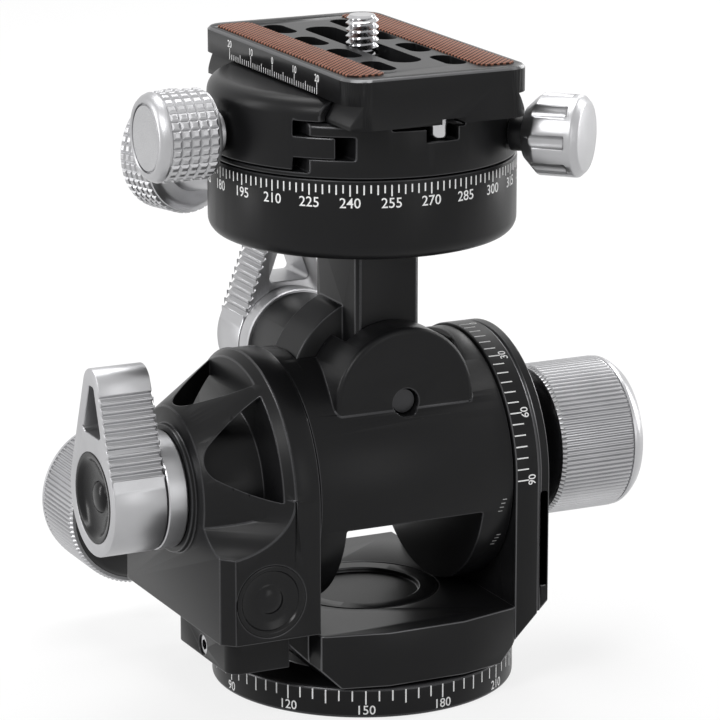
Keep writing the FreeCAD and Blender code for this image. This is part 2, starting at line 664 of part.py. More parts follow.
def swing_shaft():
    shaft = cyl(SWING_SHAFT_R, REAR_BOSS_Y + 12.2, (0, -12.2, SWING_Z), (0, 1, 0))
    pin = cyl(SWING_PIN_R, -ARCH_FRONT_Y - 1.2 - 12.2, (0, ARCH_FRONT_Y + 1.2, SWING_Z), (0, 1, 0))
    return shaft.fuse(pin).cut(cyl(STUD_R + FIT, 12, (0, REAR_BOSS_Y - 11.8, SWING_Z), (0, 1, 0)))


def lever_shape():
    """Lever along +Z from z 0, arm towards +Y, serrations on the +X side."""
    spread = LEVER_HUB_R - LEVER_TIP_R
    lean = math.asin(spread / LEVER_REACH)
    nx, ny = math.cos(lean), math.sin(lean)
    hub_pts = [(s * nx * LEVER_HUB_R, ny * LEVER_HUB_R) for s in (1, -1)]
    tip_pts = [(s * nx * LEVER_TIP_R, LEVER_REACH + ny * LEVER_TIP_R) for s in (1, -1)]
    arm = prism([hub_pts[0] + (0,), tip_pts[0] + (0,), tip_pts[1] + (0,), hub_pts[1] + (0,)], (0, 0, LEVER_THICK))
    hub = cyl(LEVER_HUB_R, LEVER_THICK, (0, 0, 0), (0, 0, 1))
    tip = cyl(LEVER_TIP_R, LEVER_THICK, (0, LEVER_REACH, 0), (0, 0, 1))
    body = hub.fuse(arm).fuse(tip)
    body = body.cut(lever_window())
    body = body.cut(lever_serrations(lean))
    body = body.cut(cyl(STUD_R, 8, (0, 0, 0), (0, 0, 1)))
    body = body.cut(cyl(LEVER_CAP_R, LEVER_CAP_H, (0, 0, LEVER_THICK - LEVER_CAP_H), (0, 0, 1)))
    return body.removeSplitter()


def lever_window():
    """Three-cornered opening between hub and tip."""
    low, high = LEVER_HUB_R + 0.9, LEVER_REACH + 0.6
    outline = [(-4.6, low, -1), (4.6, low, -1), (1.2, high, -1), (-1.2, high, -1)]
    hole = prism(outline, (0, 0, LEVER_THICK + 2))
    rounded = edges_where(hole, lambda c, e: abs(e.Length - LEVER_THICK - 2) < 0.01)
    return hole.makeFillet(0.9, rounded)


def lever_serrations(lean):
    """Row of V grooves down one side of the arm."""
    grooves = []
    depth = 0.75
    for i in range(LEVER_TEETH):
        y = LEVER_TOOTH_START + i * LEVER_TOOTH_PITCH
        x = (LEVER_HUB_R / math.cos(lean)) - y * math.tan(lean)
        h = LEVER_TOOTH_PITCH / 2
        grooves.append(prism([(x + 0.2, y - h, -1), (x + 0.2, y + h, -1), (x - depth, y, -1)],
                             (0, 0, LEVER_THICK + 2)))
    return Part.makeCompound(grooves)


def lever_cap_shape():
    """Dark disc with a dish and a dome, sunk in the lever hub."""
    r = LEVER_CAP_R
    h = LEVER_CAP_H
    return turned([(0, 0), (r, 0), (r, h), (r - 1.2, h), (r - 2.1, h - 0.5), (3.4, h - 1.5), (3.1, h - 1.5),
                   (2.6, h - 0.9), (0, h - 0.5)], (0, 0, LEVER_THICK - h), (0, 0, 1))


def lever_stud_shape(reach):
    """Threaded stud through the lever into the shaft it locks."""
    return cyl(STUD_R, reach + 8.0, (0, 0, -reach), (0, 0, 1))


def collar_shape():
    """Silver clamp ring between the lever and the housing."""
    length = COLLAR_LEN - GAP
    body = turned([(3.0, 0), (COLLAR_R - 0.5, 0), (COLLAR_R, 0.5), (COLLAR_R, length), (3.0, length)],
                  (0, 0, 0), (0, 0, 1))
    return body


def on_tilt_axis(shape, x):
    """Send +Z to -X and +Y to +Z at the tilt axis, so that +X faces -Y."""
    turn = FreeCAD.Placement(V(x, 0, TILT_Z), rotation_from(V(0, -1, 0), V(-1, 0, 0)))
    shape.Placement = turn.multiply(shape.Placement)
    return shape


def on_swing_axis(shape, y):
    """Send +Z to +Y and +Y to +Z at the swing axis, so that +X faces -X."""
    turn = FreeCAD.Placement(V(0, y, SWING_Z), rotation_from(V(-1, 0, 0), V(0, 1, 0)))
    shape.Placement = turn.multiply(shape.Placement)
    return shape


def scale_ring():
    ring = cyl(RING_R, RING_TOP - COLUMN_TOP, (0, 0, COLUMN_TOP), (0, 0, 1))
    low = edges_where(ring, lambda c, e: abs(c.z - COLUMN_TOP) < 0.01)
    ring = ring.makeFillet(RING_EDGE, low)
    ring = ring.cut(cyl(TURN_NECK_R + FIT, TURN_NECK_DEPTH + GAP, (0, 0, RING_TOP - TURN_NECK_DEPTH - GAP), (0, 0, 1)))
    ring = ring.cut(ring_bolt_set(0.05))
    ring = ring.cut(set_screw_set(0.0, False))
    out = radial(RING_KNOB_ANGLE)
    stem_start = (out[0] * 12.0, out[1] * 12.0, RING_KNOB_Z)
    return ring.cut(cyl(STUD_R + FIT, 30, stem_start, out))


def ring_bolt_set(extra):
    """Four bolts from the ring down into the column."""
    bolts = []
    for x in (-4.0, 4.0):
        for y in (-8.6, 4.0):
            head = cyl(2.2 + extra, 2.0, (x, y, RING_TOP - TURN_NECK_DEPTH - GAP - 2.0), (0, 0, 1))
            shank = cyl(1.2 + extra, 14.0, (x, y, RING_TOP - TURN_NECK_DEPTH - GAP - 14.0), (0, 0, 1))
            bolts.append(head.fuse(shank))
    return Part.makeCompound(bolts)


def set_screw_set(extra, socket=True):
    """Two grub screws with hexagon sockets in the side of the ring."""
    screws = []
    for angle in (233.0, 214.0):
        out = radial(angle)
        z = 97.2
        tip = (out[0] * 25.0, out[1] * 25.0, z)
        screw = cyl(1.45 + extra, 4.75, tip, out)
        if socket:
            hexagon = Part.makePolygon([V(0.85 * math.cos(math.pi / 3 * i), 0.85 * math.sin(math.pi / 3 * i), 0)
                                        for i in range(7)])
            hole = placed(Part.Face(hexagon).extrude(V(0, 0, 2)), (out[0] * 28.6, out[1] * 28.6, z), out)
            screw = screw.cut(hole)
        screws.append(screw)
    return Part.makeCompound(screws)


def ring_knob_frame(distance):
    out = radial(RING_KNOB_ANGLE)
    return (out[0] * distance, out[1] * distance, RING_KNOB_Z), out


def ring_knob():
    base, out = ring_knob_frame(RING_KNOB_REACH)
    r, n = RING_KNOB_R, RING_KNOB_LEN
    return turned([(STUD_R, 0), (r - 1.5, 0), (r, 1.2), (r, n - 1.2), (r - 1.2, n), (r - 2.5, n), (0, n - 1.0),
                   (0, 3.0), (STUD_R, 3.0)], base, out)


def ring_knob_neck():
    base, out = ring_knob_frame(RING_R + 0.5)
    length = RING_KNOB_REACH - RING_R - 0.5
    neck = cone(3.6, 7.5, length, base, out)
    return neck.cut(cyl(STUD_R, length, base, out))


def ring_knob_stem():
    base, out = ring_knob_frame(15.0)
    return cyl(STUD_R, RING_KNOB_REACH + 3.0 - 15.0, base, out)


def clamp_body():
    top = CLAMP_TOP
    body = cyl(RING_R, top - TURN_Z, (0, 0, TURN_Z), (0, 0, 1))
    rims = edges_where(body, lambda c, e: e.Length > 100 and c.z > TURN_Z + 1)
    body = body.makeChamfer(CLAMP_EDGE, rims)
    body = body.cut(block(-40, JAW_SPLIT_X, -40, 40, TURN_Z + JAW_SHELF, top + 1))
    body = body.fuse(right_rail())
    for side in (-1, 1):
        body = body.cut(tongue_box(side, JAW_SPLIT_X - 1, TONGUE_SLOT_X, TONGUE_GAP))
    body = body.fuse(cyl(TURN_NECK_R, TURN_NECK_DEPTH + TURN_Z - RING_TOP,
                         (0, 0, RING_TOP - TURN_NECK_DEPTH), (0, 0, 1)))
    body = body.cut(stop_recess())
    body = body.cut(cyl(JAW_SCREW_R + FIT, 40, (-40, 0, JAW_KNOB_Z), (1, 0, 0)))
    out = radial(FLUTED_KNOB_ANGLE)
    return body.cut(cyl(STUD_R + FIT, 30, (out[0] * 14, out[1] * 14, FLUTED_KNOB_Z), out)).removeSplitter()


def rail_profile(side):
    """Hooked rail that holds one dovetail edge of the plate."""
    top = PLATE_TOP - PLATE_FLANGE - GAP
    return [(side * RAIL_EDGE_X, CLAMP_TOP - 1), (side * RAIL_EDGE_X, top - 1.2),
            (side * (RAIL_EDGE_X - 1.2), top), (side * (DOVE_TIP + GAP), top),
            (side * (DOVE_WIDE + GAP), PLATE_BOTTOM + DOVE_FOOT), (side * (DOVE_WIDE + GAP), CLAMP_TOP - 1)]


def right_rail():
    rail = prism([(x, -RING_R, z) for x, z in rail_profile(1)], (0, 2 * RING_R, 0))
    rail = rail.common(cyl(RING_R - CLAMP_EDGE, 40, (0, 0, 90), (0, 0, 1)))
    return rail


def stop_recess():
    x, y = STOP_AT
    x0, x1 = STOP_STEP_X
    step = block(x0, x1, -RING_R - 1, y + STOP_R + GAP, CLAMP_TOP - STOP_STEP_DEPTH, CLAMP_TOP + 1)
    pocket = cyl(STOP_POCKET_R, STOP_RECESS + 1, (x, y, CLAMP_TOP - STOP_RECESS), (0, 0, 1))
    mouth = block(x - STOP_POCKET_R, x + STOP_POCKET_R, -RING_R - 1, y, CLAMP_TOP - STOP_RECESS, CLAMP_TOP + 1)
    room = step.fuse(pocket).fuse(mouth)
    hole_z = CLAMP_TOP - STOP_RECESS - STOP_STEM_LEN
    return room.fuse(cyl(STOP_STEM_R + FIT, STOP_STEM_LEN + 1, (x, y, hole_z), (0, 0, 1)))


def clamp_jaw():
    top = PLATE_TOP - PLATE_FLANGE - GAP
    low = TURN_Z + JAW_SHELF + GAP
    shell = cyl(RING_R, top - TURN_Z, (0, 0, TURN_Z), (0, 0, 1))
    shell = shell.makeFillet(JAW_ROUND, edges_where(shell, lambda c, e: e.Length > 100 and c.z > low))
    step = CLAMP_TOP + GAP
    foot, tip = DOVE_WIDE + GAP, DOVE_TIP + GAP
    outline = [(-31, low), (JAW_INNER_X, low), (JAW_INNER_X, step), (-foot, step),
               (-foot, PLATE_BOTTOM + DOVE_FOOT), (-tip, top), (-31, top)]
    body = prism([(x, -40, z) for x, z in outline], (0, 80, 0))
    body = body.cut(block(JAW_SPLIT_X, 0, -60, -JAW_END_Y, low, top + 1))
    body = body.cut(block(JAW_SPLIT_X, 0, JAW_END_Y, 60, low, top + 1))
    for side in (-1, 1):
        body = body.fuse(tongue_box(side, JAW_INNER_X - 1, TONGUE_TIP_X, 0))
    body = body.common(shell)
    return body.cut(cyl(JAW_SCREW_R + FIT, 40, (-40, 0, JAW_KNOB_Z), (1, 0, 0))).removeSplitter()


def tongue_box(side, x0, x1, extra):
    """Box of one guide tongue, front or rear; with extra it is the slot that takes it."""
    z0, z1 = TONGUE_Z
    y0, y1 = sorted((side * (TONGUE_IN_Y - extra), side * (RING_R + 1)))
    return block(x0, x1, y0, y1, z0 - extra, z1 + extra)


def jaw_knob():
    r, n = JAW_KNOB_R, JAW_KNOB_LEN
    bore, deep = JAW_SCREW_R, JAW_KNOB_LEN / 2
    return turned([(bore, 0), (r - 1.0, 0), (r, 0.9), (r, n - 0.9), (r - 0.9, n), (r - 1.8, n), (r - 2.1, n - 0.7),
                   (0, n - 0.7), (0, deep), (bore, deep)], (JAW_KNOB_X, 0, JAW_KNOB_Z), (-1, 0, 0))


def jaw_knob_collar():
    start = -RING_R - 0.3
    length = start - JAW_KNOB_X
    collar = cone(4.0, 6.5, length, (start, 0, JAW_KNOB_Z), (-1, 0, 0))
    return collar.cut(cyl(JAW_SCREW_R, length, (start, 0, JAW_KNOB_Z), (-1, 0, 0)))


def jaw_knob_cap():
    n = JAW_KNOB_LEN
    return cyl(JAW_KNOB_R - 2.3, 0.5, (JAW_KNOB_X - n + 0.7, 0, JAW_KNOB_Z), (-1, 0, 0))


def jaw_screw():
    return cyl(JAW_SCREW_R, 23.0, (JAW_KNOB_X - JAW_KNOB_LEN / 2, 0, JAW_KNOB_Z), (1, 0, 0))


def fluted_frame(distance):
    out = radial(FLUTED_KNOB_ANGLE)
    return (out[0] * distance, out[1] * distance, FLUTED_KNOB_Z), out


def fluted_knob():
    base, out = fluted_frame(FLUTED_KNOB_REACH)
    r, n = FLUTED_KNOB_R, FLUTED_KNOB_LEN
    body = turned([(STUD_R, 0), (5.0, 0), (r, 3.0), (r, n - 1.2), (r - 1.2, n), (0, n), (0, 5.0), (STUD_R, 5.0)],
                  (0, 0, 0), (0, 0, 1))
    flutes = []
    for i in range(8):
        a = math.pi / 4 * i
        flutes.append(cyl(1.7, n - 2.6, ((r + 0.9) * math.cos(a), (r + 0.9) * math.sin(a), 0), (0, 0, 1)))
    body = body.cut(Part.makeCompound(flutes))
    return placed(body, base, out)


def fluted_stem():
    base, out = fluted_frame(18.0)
    stem = cyl(STUD_R, FLUTED_KNOB_REACH + 5.0 - 18.0, base, out)
    base, out = fluted_frame(RING_R + 0.4)
    return stem.fuse(cyl(3.6, FLUTED_KNOB_REACH - RING_R - 0.4, base, out))


def plate_section():
    """Section of the plate with its dovetail notches."""
    h, z0, lip = PLATE_HALF_X, PLATE_BOTTOM, PLATE_TOP - PLATE_FLANGE
    return [(-h, lip), (-DOVE_TIP, lip), (-DOVE_WIDE, z0 + DOVE_FOOT), (-DOVE_WIDE, z0), (DOVE_WIDE, z0),
            (DOVE_WIDE, z0 + DOVE_FOOT), (DOVE_TIP, lip), (h, lip), (h, PLATE_TOP), (-h, PLATE_TOP)]


def plate():
    y = PLATE_HALF_Y
    outline = block(-PLATE_HALF_X, PLATE_HALF_X, -y, y, PLATE_BOTTOM, PLATE_TOP)
    upright = edges_where(outline, lambda c, e: abs(abs(c.x) - PLATE_HALF_X) < 0.01 and abs(abs(c.y) - y) < 0.01)
    outline = outline.makeFillet(PLATE_CORNER, upright)
    outline = outline.makeChamfer(PLATE_EDGE, edges_where(outline, lambda c, e: c.z > PLATE_TOP - 0.01))
    body = outline.common(prism([(x, -y, z) for x, z in plate_section()], (0, 2 * y, 0)))
    body = body.cut(stop_groove())
    for side in (-1, 1):
        body = body.cut(pad_shape(side, PLATE_TOP + 1))
    body = body.cut(long_slot(0, SCREW_R + FIT, SLOT_HALF_Y, PLATE_BOTTOM - 1, PLATE_TOP + 1))
    body = body.cut(long_slot(0, HEAD_ROOM_R, SLOT_HALF_Y - 1.0, PLATE_BOTTOM - 1, PLATE_BOTTOM + HEAD_ROOM_H))
    return body.cut(side_slots()).removeSplitter()


def stop_groove():
    """Groove for the head of the stop screw, open at the front end."""
    x, y = STOP_AT
    wide = STOP_R + GAP
    inner = y + wide + PLATE_TRAVEL
    groove = block(x - wide, x + wide, -40, inner - wide, PLATE_BOTTOM - 1, PLATE_BOTTOM + STOP_PROUD)
    return groove.fuse(cyl(wide, STOP_PROUD + 1, (x, inner - wide, PLATE_BOTTOM - 1), (0, 0, 1)))


def long_slot(x, radius, half, z0, z1):
    """Slot along Y with round ends."""
    slot = block(x - radius, x + radius, -half, half, z0, z1)
    for y in (-half, half):
        slot = slot.fuse(cyl(radius, z1 - z0, (x, y, z0), (0, 0, 1)))
    return slot


def side_slots():
    """Short slots on both sides of the centre slot, for straps."""
    slots = []
    for side in (-1, 1):
        for y in SIDE_SLOT_Y + tuple(-v for v in SIDE_SLOT_Y):
            slot = long_slot(side * SIDE_SLOT_X, SIDE_SLOT_R, SIDE_SLOT_HALF, PLATE_BOTTOM - 1, PLATE_TOP + 1)
            slot.translate(FreeCAD.Vector(0, y, 0))
            slots.append(slot)
    return Part.makeCompound(slots)


def pad_shape(side, top):
    """One rubber strip from its seat up to the given height."""
    x0, x1 = sorted((side * (PLATE_HALF_X - PAD_INSET), side * (PLATE_HALF_X - PAD_INSET - PAD_W)))
    strip = block(x0, x1, -PAD_HALF_Y, PAD_HALF_Y, PLATE_TOP - PAD_H, top)
    upright = edges_where(strip, lambda c, e: abs(abs(c.y) - PAD_HALF_Y) < 0.01 and abs(c.x - x0) < 0.01
                          or abs(abs(c.y) - PAD_HALF_Y) < 0.01 and abs(c.x - x1) < 0.01)
    return strip.makeChamfer(PAD_CORNER, upright)


def plate_pads():
    return Part.makeCompound([pad_shape(side, PLATE_TOP + PAD_PROUD) for side in (-1, 1)])


def screw_washer():
    z = PLATE_BOTTOM + HEAD_ROOM_H - 0.05 - 0.8
    return tube(5.6, SCREW_R + FIT, 0.8, (0, 0, z), (0, 0, 1))


def camera_screw():
    z0 = PLATE_BOTTOM + 1.0
    head_top = PLATE_BOTTOM + HEAD_ROOM_H - 0.05 - 0.8 - 0.05
    head = cyl(5.4, head_top - z0, (0, 0, z0), (0, 0, 1))
    neck_top = PLATE_TOP + PAD_PROUD
    neck = cyl(SCREW_NECK_R, neck_top - z0, (0, 0, z0), (0, 0, 1))
    threaded = cyl(SCREW_R, PLATE_TOP + SCREW_HEIGHT - neck_top, (0, 0, neck_top), (0, 0, 1))
    slot = block(-6, 6, -0.6, 0.6, z0 - 1, z0 + 1.2)
    body = head.fuse(neck).fuse(threaded)
    top = edges_where(body, lambda c, e: c.z > PLATE_TOP + SCREW_HEIGHT - 0.01)
    return body.makeChamfer(SCREW_CHAMFER, top).cut(slot).removeSplitter()


def stop_screw():
    """Small knurled screw in the recess under the plate's front end."""
    floor = CLAMP_TOP - STOP_RECESS
    x, y = STOP_AT
    head = cyl(STOP_R, STOP_RECESS + STOP_PROUD - 2 * GAP, (x, y, floor + GAP), (0, 0, 1))
    return head.fuse(cyl(STOP_STEM_R, STOP_STEM_LEN, (x, y, floor + GAP - STOP_STEM_LEN), (0, 0, 1)))


def lock_housing():
    x0, x1 = LOCK_HOUSING_X
    y0, y1 = LOCK_HOUSING_Y
    z0, z1 = LOCK_HOUSING_Z
    body = block(x0, x1, y0, y1, z0, z1)
    outer = edges_where(body, lambda c, e: abs(c.x - x0) < 0.01 and abs(c.z - (z0 + z1) / 2) < 0.1)
    body = body.makeFillet(3.0, outer)
    body = body.cut(block(LEFT_FLANGE_X - 0.0, 0, y0 - 1, y1 + 1, z0 - 1, z1 + 1))
    return body.cut(cyl(LOCK_SCREW_R + FIT, 30, (x0 - 1, LOCK_AXIS_Y, LOCK_AXIS_Z), (1, 0, 0)))


def lock_shoe():
    """Bronze shoe that the lock screw pushes against the foot's boss."""
    inner_edge_y = abs(LOCK_AXIS_Y) - LOCK_SHOE_R
    tip_x = -math.sqrt(FOOT_BOSS_R ** 2 - inner_edge_y ** 2) - LOCK_TRAVEL
    start = LEFT_FLANGE_X - 0.5
    return cyl(LOCK_SHOE_R, tip_x - start, (start, LOCK_AXIS_Y, LOCK_AXIS_Z), (1, 0, 0))


def lock_screw():
    """Set screw with a hexagon socket in the housing's outer end."""
    x0 = LOCK_HOUSING_X[0] + 0.4
    length = LEFT_FLANGE_X - 0.5 - x0
    screw = cyl(LOCK_SCREW_R, length, (x0, LOCK_AXIS_Y, LOCK_AXIS_Z), (1, 0, 0))
    hexagon = Part.makePolygon([V(1.1 * math.cos(math.pi / 3 * i), 1.1 * math.sin(math.pi / 3 * i), 0)
                                for i in range(7)])
    return screw.cut(placed(Part.Face(hexagon).extrude(V(0, 0, 2)), (x0, LOCK_AXIS_Y, LOCK_AXIS_Z), (1, 0, 0)))


NODES = {
    "foot_ring": foot_ring,
    "tripod_insert": tripod_insert,
    "pan_cap": pan_cap,
    "yoke_base": yoke_base,
    "tower_screws": lambda: tower_screw_set(0),
    "right_tower": right_tower,
    "right_cover_plate": right_cover,
    "left_tower": left_tower,
    "tilt_worm_cap": worm_cap,
    "tilt_worm_bushes": worm_bushes,
    "tilt_knob_spacer": knob_spacer_tilt,
    "tilt_worm": tilt_worm,
    "tilt_knob": tilt_knob,
    "tilt_barrel": barrel,
    "tilt_worm_wheel": tilt_wheel,
    "tilt_lever": lambda: on_tilt_axis(lever_shape(), TILT_LEVER_X),
    "tilt_lever_cap": lambda: on_tilt_axis(lever_cap_shape(), TILT_LEVER_X),
    "tilt_lever_stud": lambda: on_tilt_axis(lever_stud_shape(17.0), TILT_LEVER_X),
    "tilt_clamp_collar": lambda: on_tilt_axis(collar_shape(), LEFT_HUB_X),
    "swing_worm": swing_worm,
    "swing_worm_bush": swing_worm_bush,
    "swing_knob": swing_knob,
    "swing_knob_spacer": knob_spacer_swing,
    "swing_column": column,
    "swing_worm_wheel": swing_wheel,
    "swing_shaft": swing_shaft,
    "swing_lever": lambda: on_swing_axis(lever_shape(), SWING_LEVER_Y),
    "swing_lever_cap": lambda: on_swing_axis(lever_cap_shape(), SWING_LEVER_Y),
    "swing_lever_stud": lambda: on_swing_axis(lever_stud_shape(10.0), SWING_LEVER_Y),
    "swing_clamp_collar": lambda: on_swing_axis(collar_shape(), REAR_BOSS_Y),
    "scale_ring": scale_ring,
    "column_bolts": lambda: ring_bolt_set(0),
    "ring_set_screws": lambda: set_screw_set(0),
    "ring_lock_knob": ring_knob,
    "ring_lock_neck": ring_knob_neck,
    "ring_lock_stem": ring_knob_stem,
    "clamp_body": clamp_body,
    "clamp_jaw": clamp_jaw,
    "jaw_knob": jaw_knob,
    "jaw_knob_collar": jaw_knob_collar,
    "jaw_knob_cap": jaw_knob_cap,
    "jaw_screw": jaw_screw,
    "fluted_knob": fluted_knob,
    "fluted_knob_stem": fluted_stem,
    "plate_stop_screw": stop_screw,
    "camera_plate": plate,
    "plate_pads": plate_pads,
    "screw_washer": screw_washer,
    "camera_screw": camera_screw,
    "pan_lock_housing": lock_housing,
    "pan_lock_screw": lock_screw,
    "pan_lock_shoe": lock_shoe,
}

os.makedirs("parts", exist_ok=True)
for name, build in NODES.items():
    shape = build()
    shape.exportStep("parts/" + name + ".step")
    print(name, "solids", len(shape.Solids), "volume", round(shape.Volume, 1), "valid", shape.isValid())
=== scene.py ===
import json
import math

import bpy
from mathutils import Matrix, Vector


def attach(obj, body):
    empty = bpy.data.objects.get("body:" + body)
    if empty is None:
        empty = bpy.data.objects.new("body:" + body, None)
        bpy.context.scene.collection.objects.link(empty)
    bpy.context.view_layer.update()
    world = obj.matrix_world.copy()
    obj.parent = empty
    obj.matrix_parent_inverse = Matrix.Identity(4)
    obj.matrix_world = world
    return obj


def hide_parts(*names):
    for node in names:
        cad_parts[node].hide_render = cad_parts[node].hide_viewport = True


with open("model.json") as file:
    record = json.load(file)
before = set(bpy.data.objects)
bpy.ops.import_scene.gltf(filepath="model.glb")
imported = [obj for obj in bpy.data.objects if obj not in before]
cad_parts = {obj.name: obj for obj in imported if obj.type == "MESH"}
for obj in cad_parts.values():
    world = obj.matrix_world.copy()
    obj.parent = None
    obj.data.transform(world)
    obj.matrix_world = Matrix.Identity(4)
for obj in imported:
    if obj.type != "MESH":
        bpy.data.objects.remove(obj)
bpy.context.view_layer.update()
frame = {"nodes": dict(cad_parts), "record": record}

MM = 0.001
RECORD = frame["record"]
BODY_OF = {n: body for body, members in RECORD["behaviour"]["bodies"].items() for n in members}
SLOT_OF = {s["node"]: s["material_slot"] for s in RECORD["subparts"]}

# Camera of the photograph: place in millimetres, then the two look angles
CAMERA_AT = (-320.3, -664.6, 258.2)
CAMERA_PITCH = 14.77
CAMERA_TURN = 25.70
CAMERA_LENS = 194.3

# Axes and sizes of the head in millimetres
TILT_Z = 42.9
SWING_Z = 59.9
RING_R = 30.0
FOOT_R = 30.0
FOOT_H = 6.1
TOWER_R = 25.5
RIGHT_IN_X = 21.0
BARREL_R = 25.0
TILT_WORM_AT = (-31.3, 25.9)
MARK_LIFT = 0.02
MARK_DEEP = 0.04
MARK_WIDE = 0.28


def camera_and_studio():
    """Camera at the photograph's place, a white floor that keeps the shadow, and soft lamps."""
    data = bpy.data.cameras.new("camera")
    data.lens = CAMERA_LENS
    data.sensor_width = 36.0
    data.clip_start = 0.01
    camera = bpy.data.objects.new("camera", data)
    camera.location = Vector(CAMERA_AT) * MM
    camera.rotation_euler = (math.radians(90 - CAMERA_PITCH), 0, math.radians(-CAMERA_TURN))
    bpy.context.scene.collection.objects.link(camera)
    bpy.context.scene.camera = camera
    bpy.context.scene.view_settings.view_transform = "Standard"

    bpy.ops.mesh.primitive_plane_add(size=12.0, location=(0, 0, 0))
    floor = bpy.context.object
    floor.name = "floor"
    floor.data.materials.append(floor_finish())

    lamp("key", (-0.95, -0.55, 0.85), 0.45, 0.45, 7.0)
    lamp("front_fill", (0.35, -1.35, 0.30), 0.35, 0.8, 1.6)
    lamp("right_strip", (0.95, 0.05, 0.35), 0.18, 0.9, 5.0)
    lamp("left_strip", (-0.95, 0.45, 0.30), 0.16, 0.9, 4.5)
    lamp("overhead", (0.05, 0.35, 1.1), 0.8, 0.6, 8.0)
    lamp("rear", (0.75, 0.75, 0.6), 0.4, 0.4, 2.0)
    studio_world()


def lamp(name, at, wide, tall, power):
    """Rectangular soft lamp aimed at the middle of the head."""
    data = bpy.data.lights.new(name, "AREA")
    data.shape = "RECTANGLE"
    data.size = wide
    data.size_y = tall
    data.energy = power
    obj = bpy.data.objects.new(name, data)
    obj.location = at
    aim = Vector((0, 0, 0.065)) - Vector(at)
    obj.rotation_euler = aim.to_track_quat("-Z", "Y").to_euler()
    bpy.context.scene.collection.objects.link(obj)


def white_for_view(nodes, links):
    """One for rays that show or mirror the backdrop, and zero for the rest."""
    rays = nodes.new("ShaderNodeLightPath")
    glossy = nodes.new("ShaderNodeMath")
    glossy.operation = "MAXIMUM"
    both = nodes.new("ShaderNodeMath")
    both.operation = "MAXIMUM"
    links.new(rays.outputs["Is Glossy Ray"], glossy.inputs[0])
    links.new(rays.outputs["Is Transmission Ray"], glossy.inputs[1])
    links.new(rays.outputs["Is Camera Ray"], both.inputs[0])
    links.new(glossy.outputs[0], both.inputs[1])
    return both


def studio_world():
    world = bpy.data.worlds.new("studio")
    bpy.context.scene.world = world
    world.use_nodes = True
    nodes, links = world.node_tree.nodes, world.node_tree.links
    nodes.clear()
    out = nodes.new("ShaderNodeOutputWorld")
    soft = nodes.new("ShaderNodeBackground")
    soft.inputs["Color"].default_value = (1, 1, 1, 1)
    soft.inputs["Strength"].default_value = 0.30
    white = nodes.new("ShaderNodeBackground")
    white.inputs["Color"].default_value = (1, 1, 1, 1)
    white.inputs["Strength"].default_value = 1.0
    mix = nodes.new("ShaderNodeMixShader")
    seen = white_for_view(nodes, links)
    links.new(seen.outputs[0], mix.inputs[0])
    links.new(soft.outputs[0], mix.inputs[1])
    links.new(white.outputs[0], mix.inputs[2])
    links.new(mix.outputs[0], out.inputs[0])


def floor_finish():
    floor = bpy.data.materials.new("studio_floor")
    floor.use_nodes = True
    nodes, links = floor.node_tree.nodes, floor.node_tree.links
    nodes.clear()
    out = nodes.new("ShaderNodeOutputMaterial")
    matte = nodes.new("ShaderNodeBsdfDiffuse")
    matte.inputs["Color"].default_value = (0.9, 0.9, 0.9, 1)
    glow = nodes.new("ShaderNodeEmission")
    glow.inputs["Color"].default_value = (1, 1, 1, 1)
    share = nodes.new("ShaderNodeMath")
    share.operation = "MULTIPLY"
    share.inputs[1].default_value = 0.78
    mix = nodes.new("ShaderNodeMixShader")
    seen = white_for_view(nodes, links)
    links.new(seen.outputs[0], share.inputs[0])
    links.new(share.outputs[0], mix.inputs[0])
    links.new(matte.outputs[0], mix.inputs[1])
    links.new(glow.outputs[0], mix.inputs[2])
    links.new(mix.outputs[0], out.inputs[0])
    return floor


def finish(name, colour, metallic, rough, grain=0.25, grain_mm=0.12, spread=0.06, tint=0.15, coat=0.0,
           gloss_level=0.5):
    """Surface with a fine blasted grain, uneven gloss and a slight drift of colour."""
    material = bpy.data.materials.new(name)
    material.use_nodes = True
    nodes, links = material.node_tree.nodes, material.node_tree.links
    shader = nodes["Principled BSDF"]
    shader.inputs["Metallic"].default_value = metallic
    shader.inputs["Coat Weight"].default_value = coat
    shader.inputs["Specular IOR Level"].default_value = gloss_level
    place = nodes.new("ShaderNodeTexCoord")
    drift = noise(nodes, links, place, 1 / (9 * MM), 3.0)
    ramp = nodes.new("ShaderNodeValToRGB")
    ramp.color_ramp.elements[0].color = tuple(c * (1 - tint) for c in colour) + (1,)
    ramp.color_ramp.elements[1].color = tuple(min(1, c * (1 + tint)) for c in colour) + (1,)
    links.new(drift.outputs["Fac"], ramp.inputs[0])
    links.new(ramp.outputs[0], shader.inputs["Base Color"])
    fine = noise(nodes, links, place, 1 / (grain_mm * MM), 2.0)
    gloss = nodes.new("ShaderNodeMapRange")
    gloss.inputs["To Min"].default_value = rough - spread
    gloss.inputs["To Max"].default_value = rough + spread
    links.new(fine.outputs["Fac"], gloss.inputs["Value"])
    links.new(gloss.outputs[0], shader.inputs["Roughness"])
    bump = nodes.new("ShaderNodeBump")
    bump.inputs["Strength"].default_value = grain
    bump.inputs["Distance"].default_value = 0.02 * MM
    links.new(fine.outputs["Fac"], bump.inputs["Height"])
    links.new(bump.outputs[0], shader.inputs["Normal"])
    return material


def noise(nodes, links, place, scale, detail):
    texture = nodes.new("ShaderNodeTexNoise")
    texture.inputs["Scale"].default_value = scale
    texture.inputs["Detail"].default_value = detail
    links.new(place.outputs["Object"], texture.inputs["Vector"])
    return texture


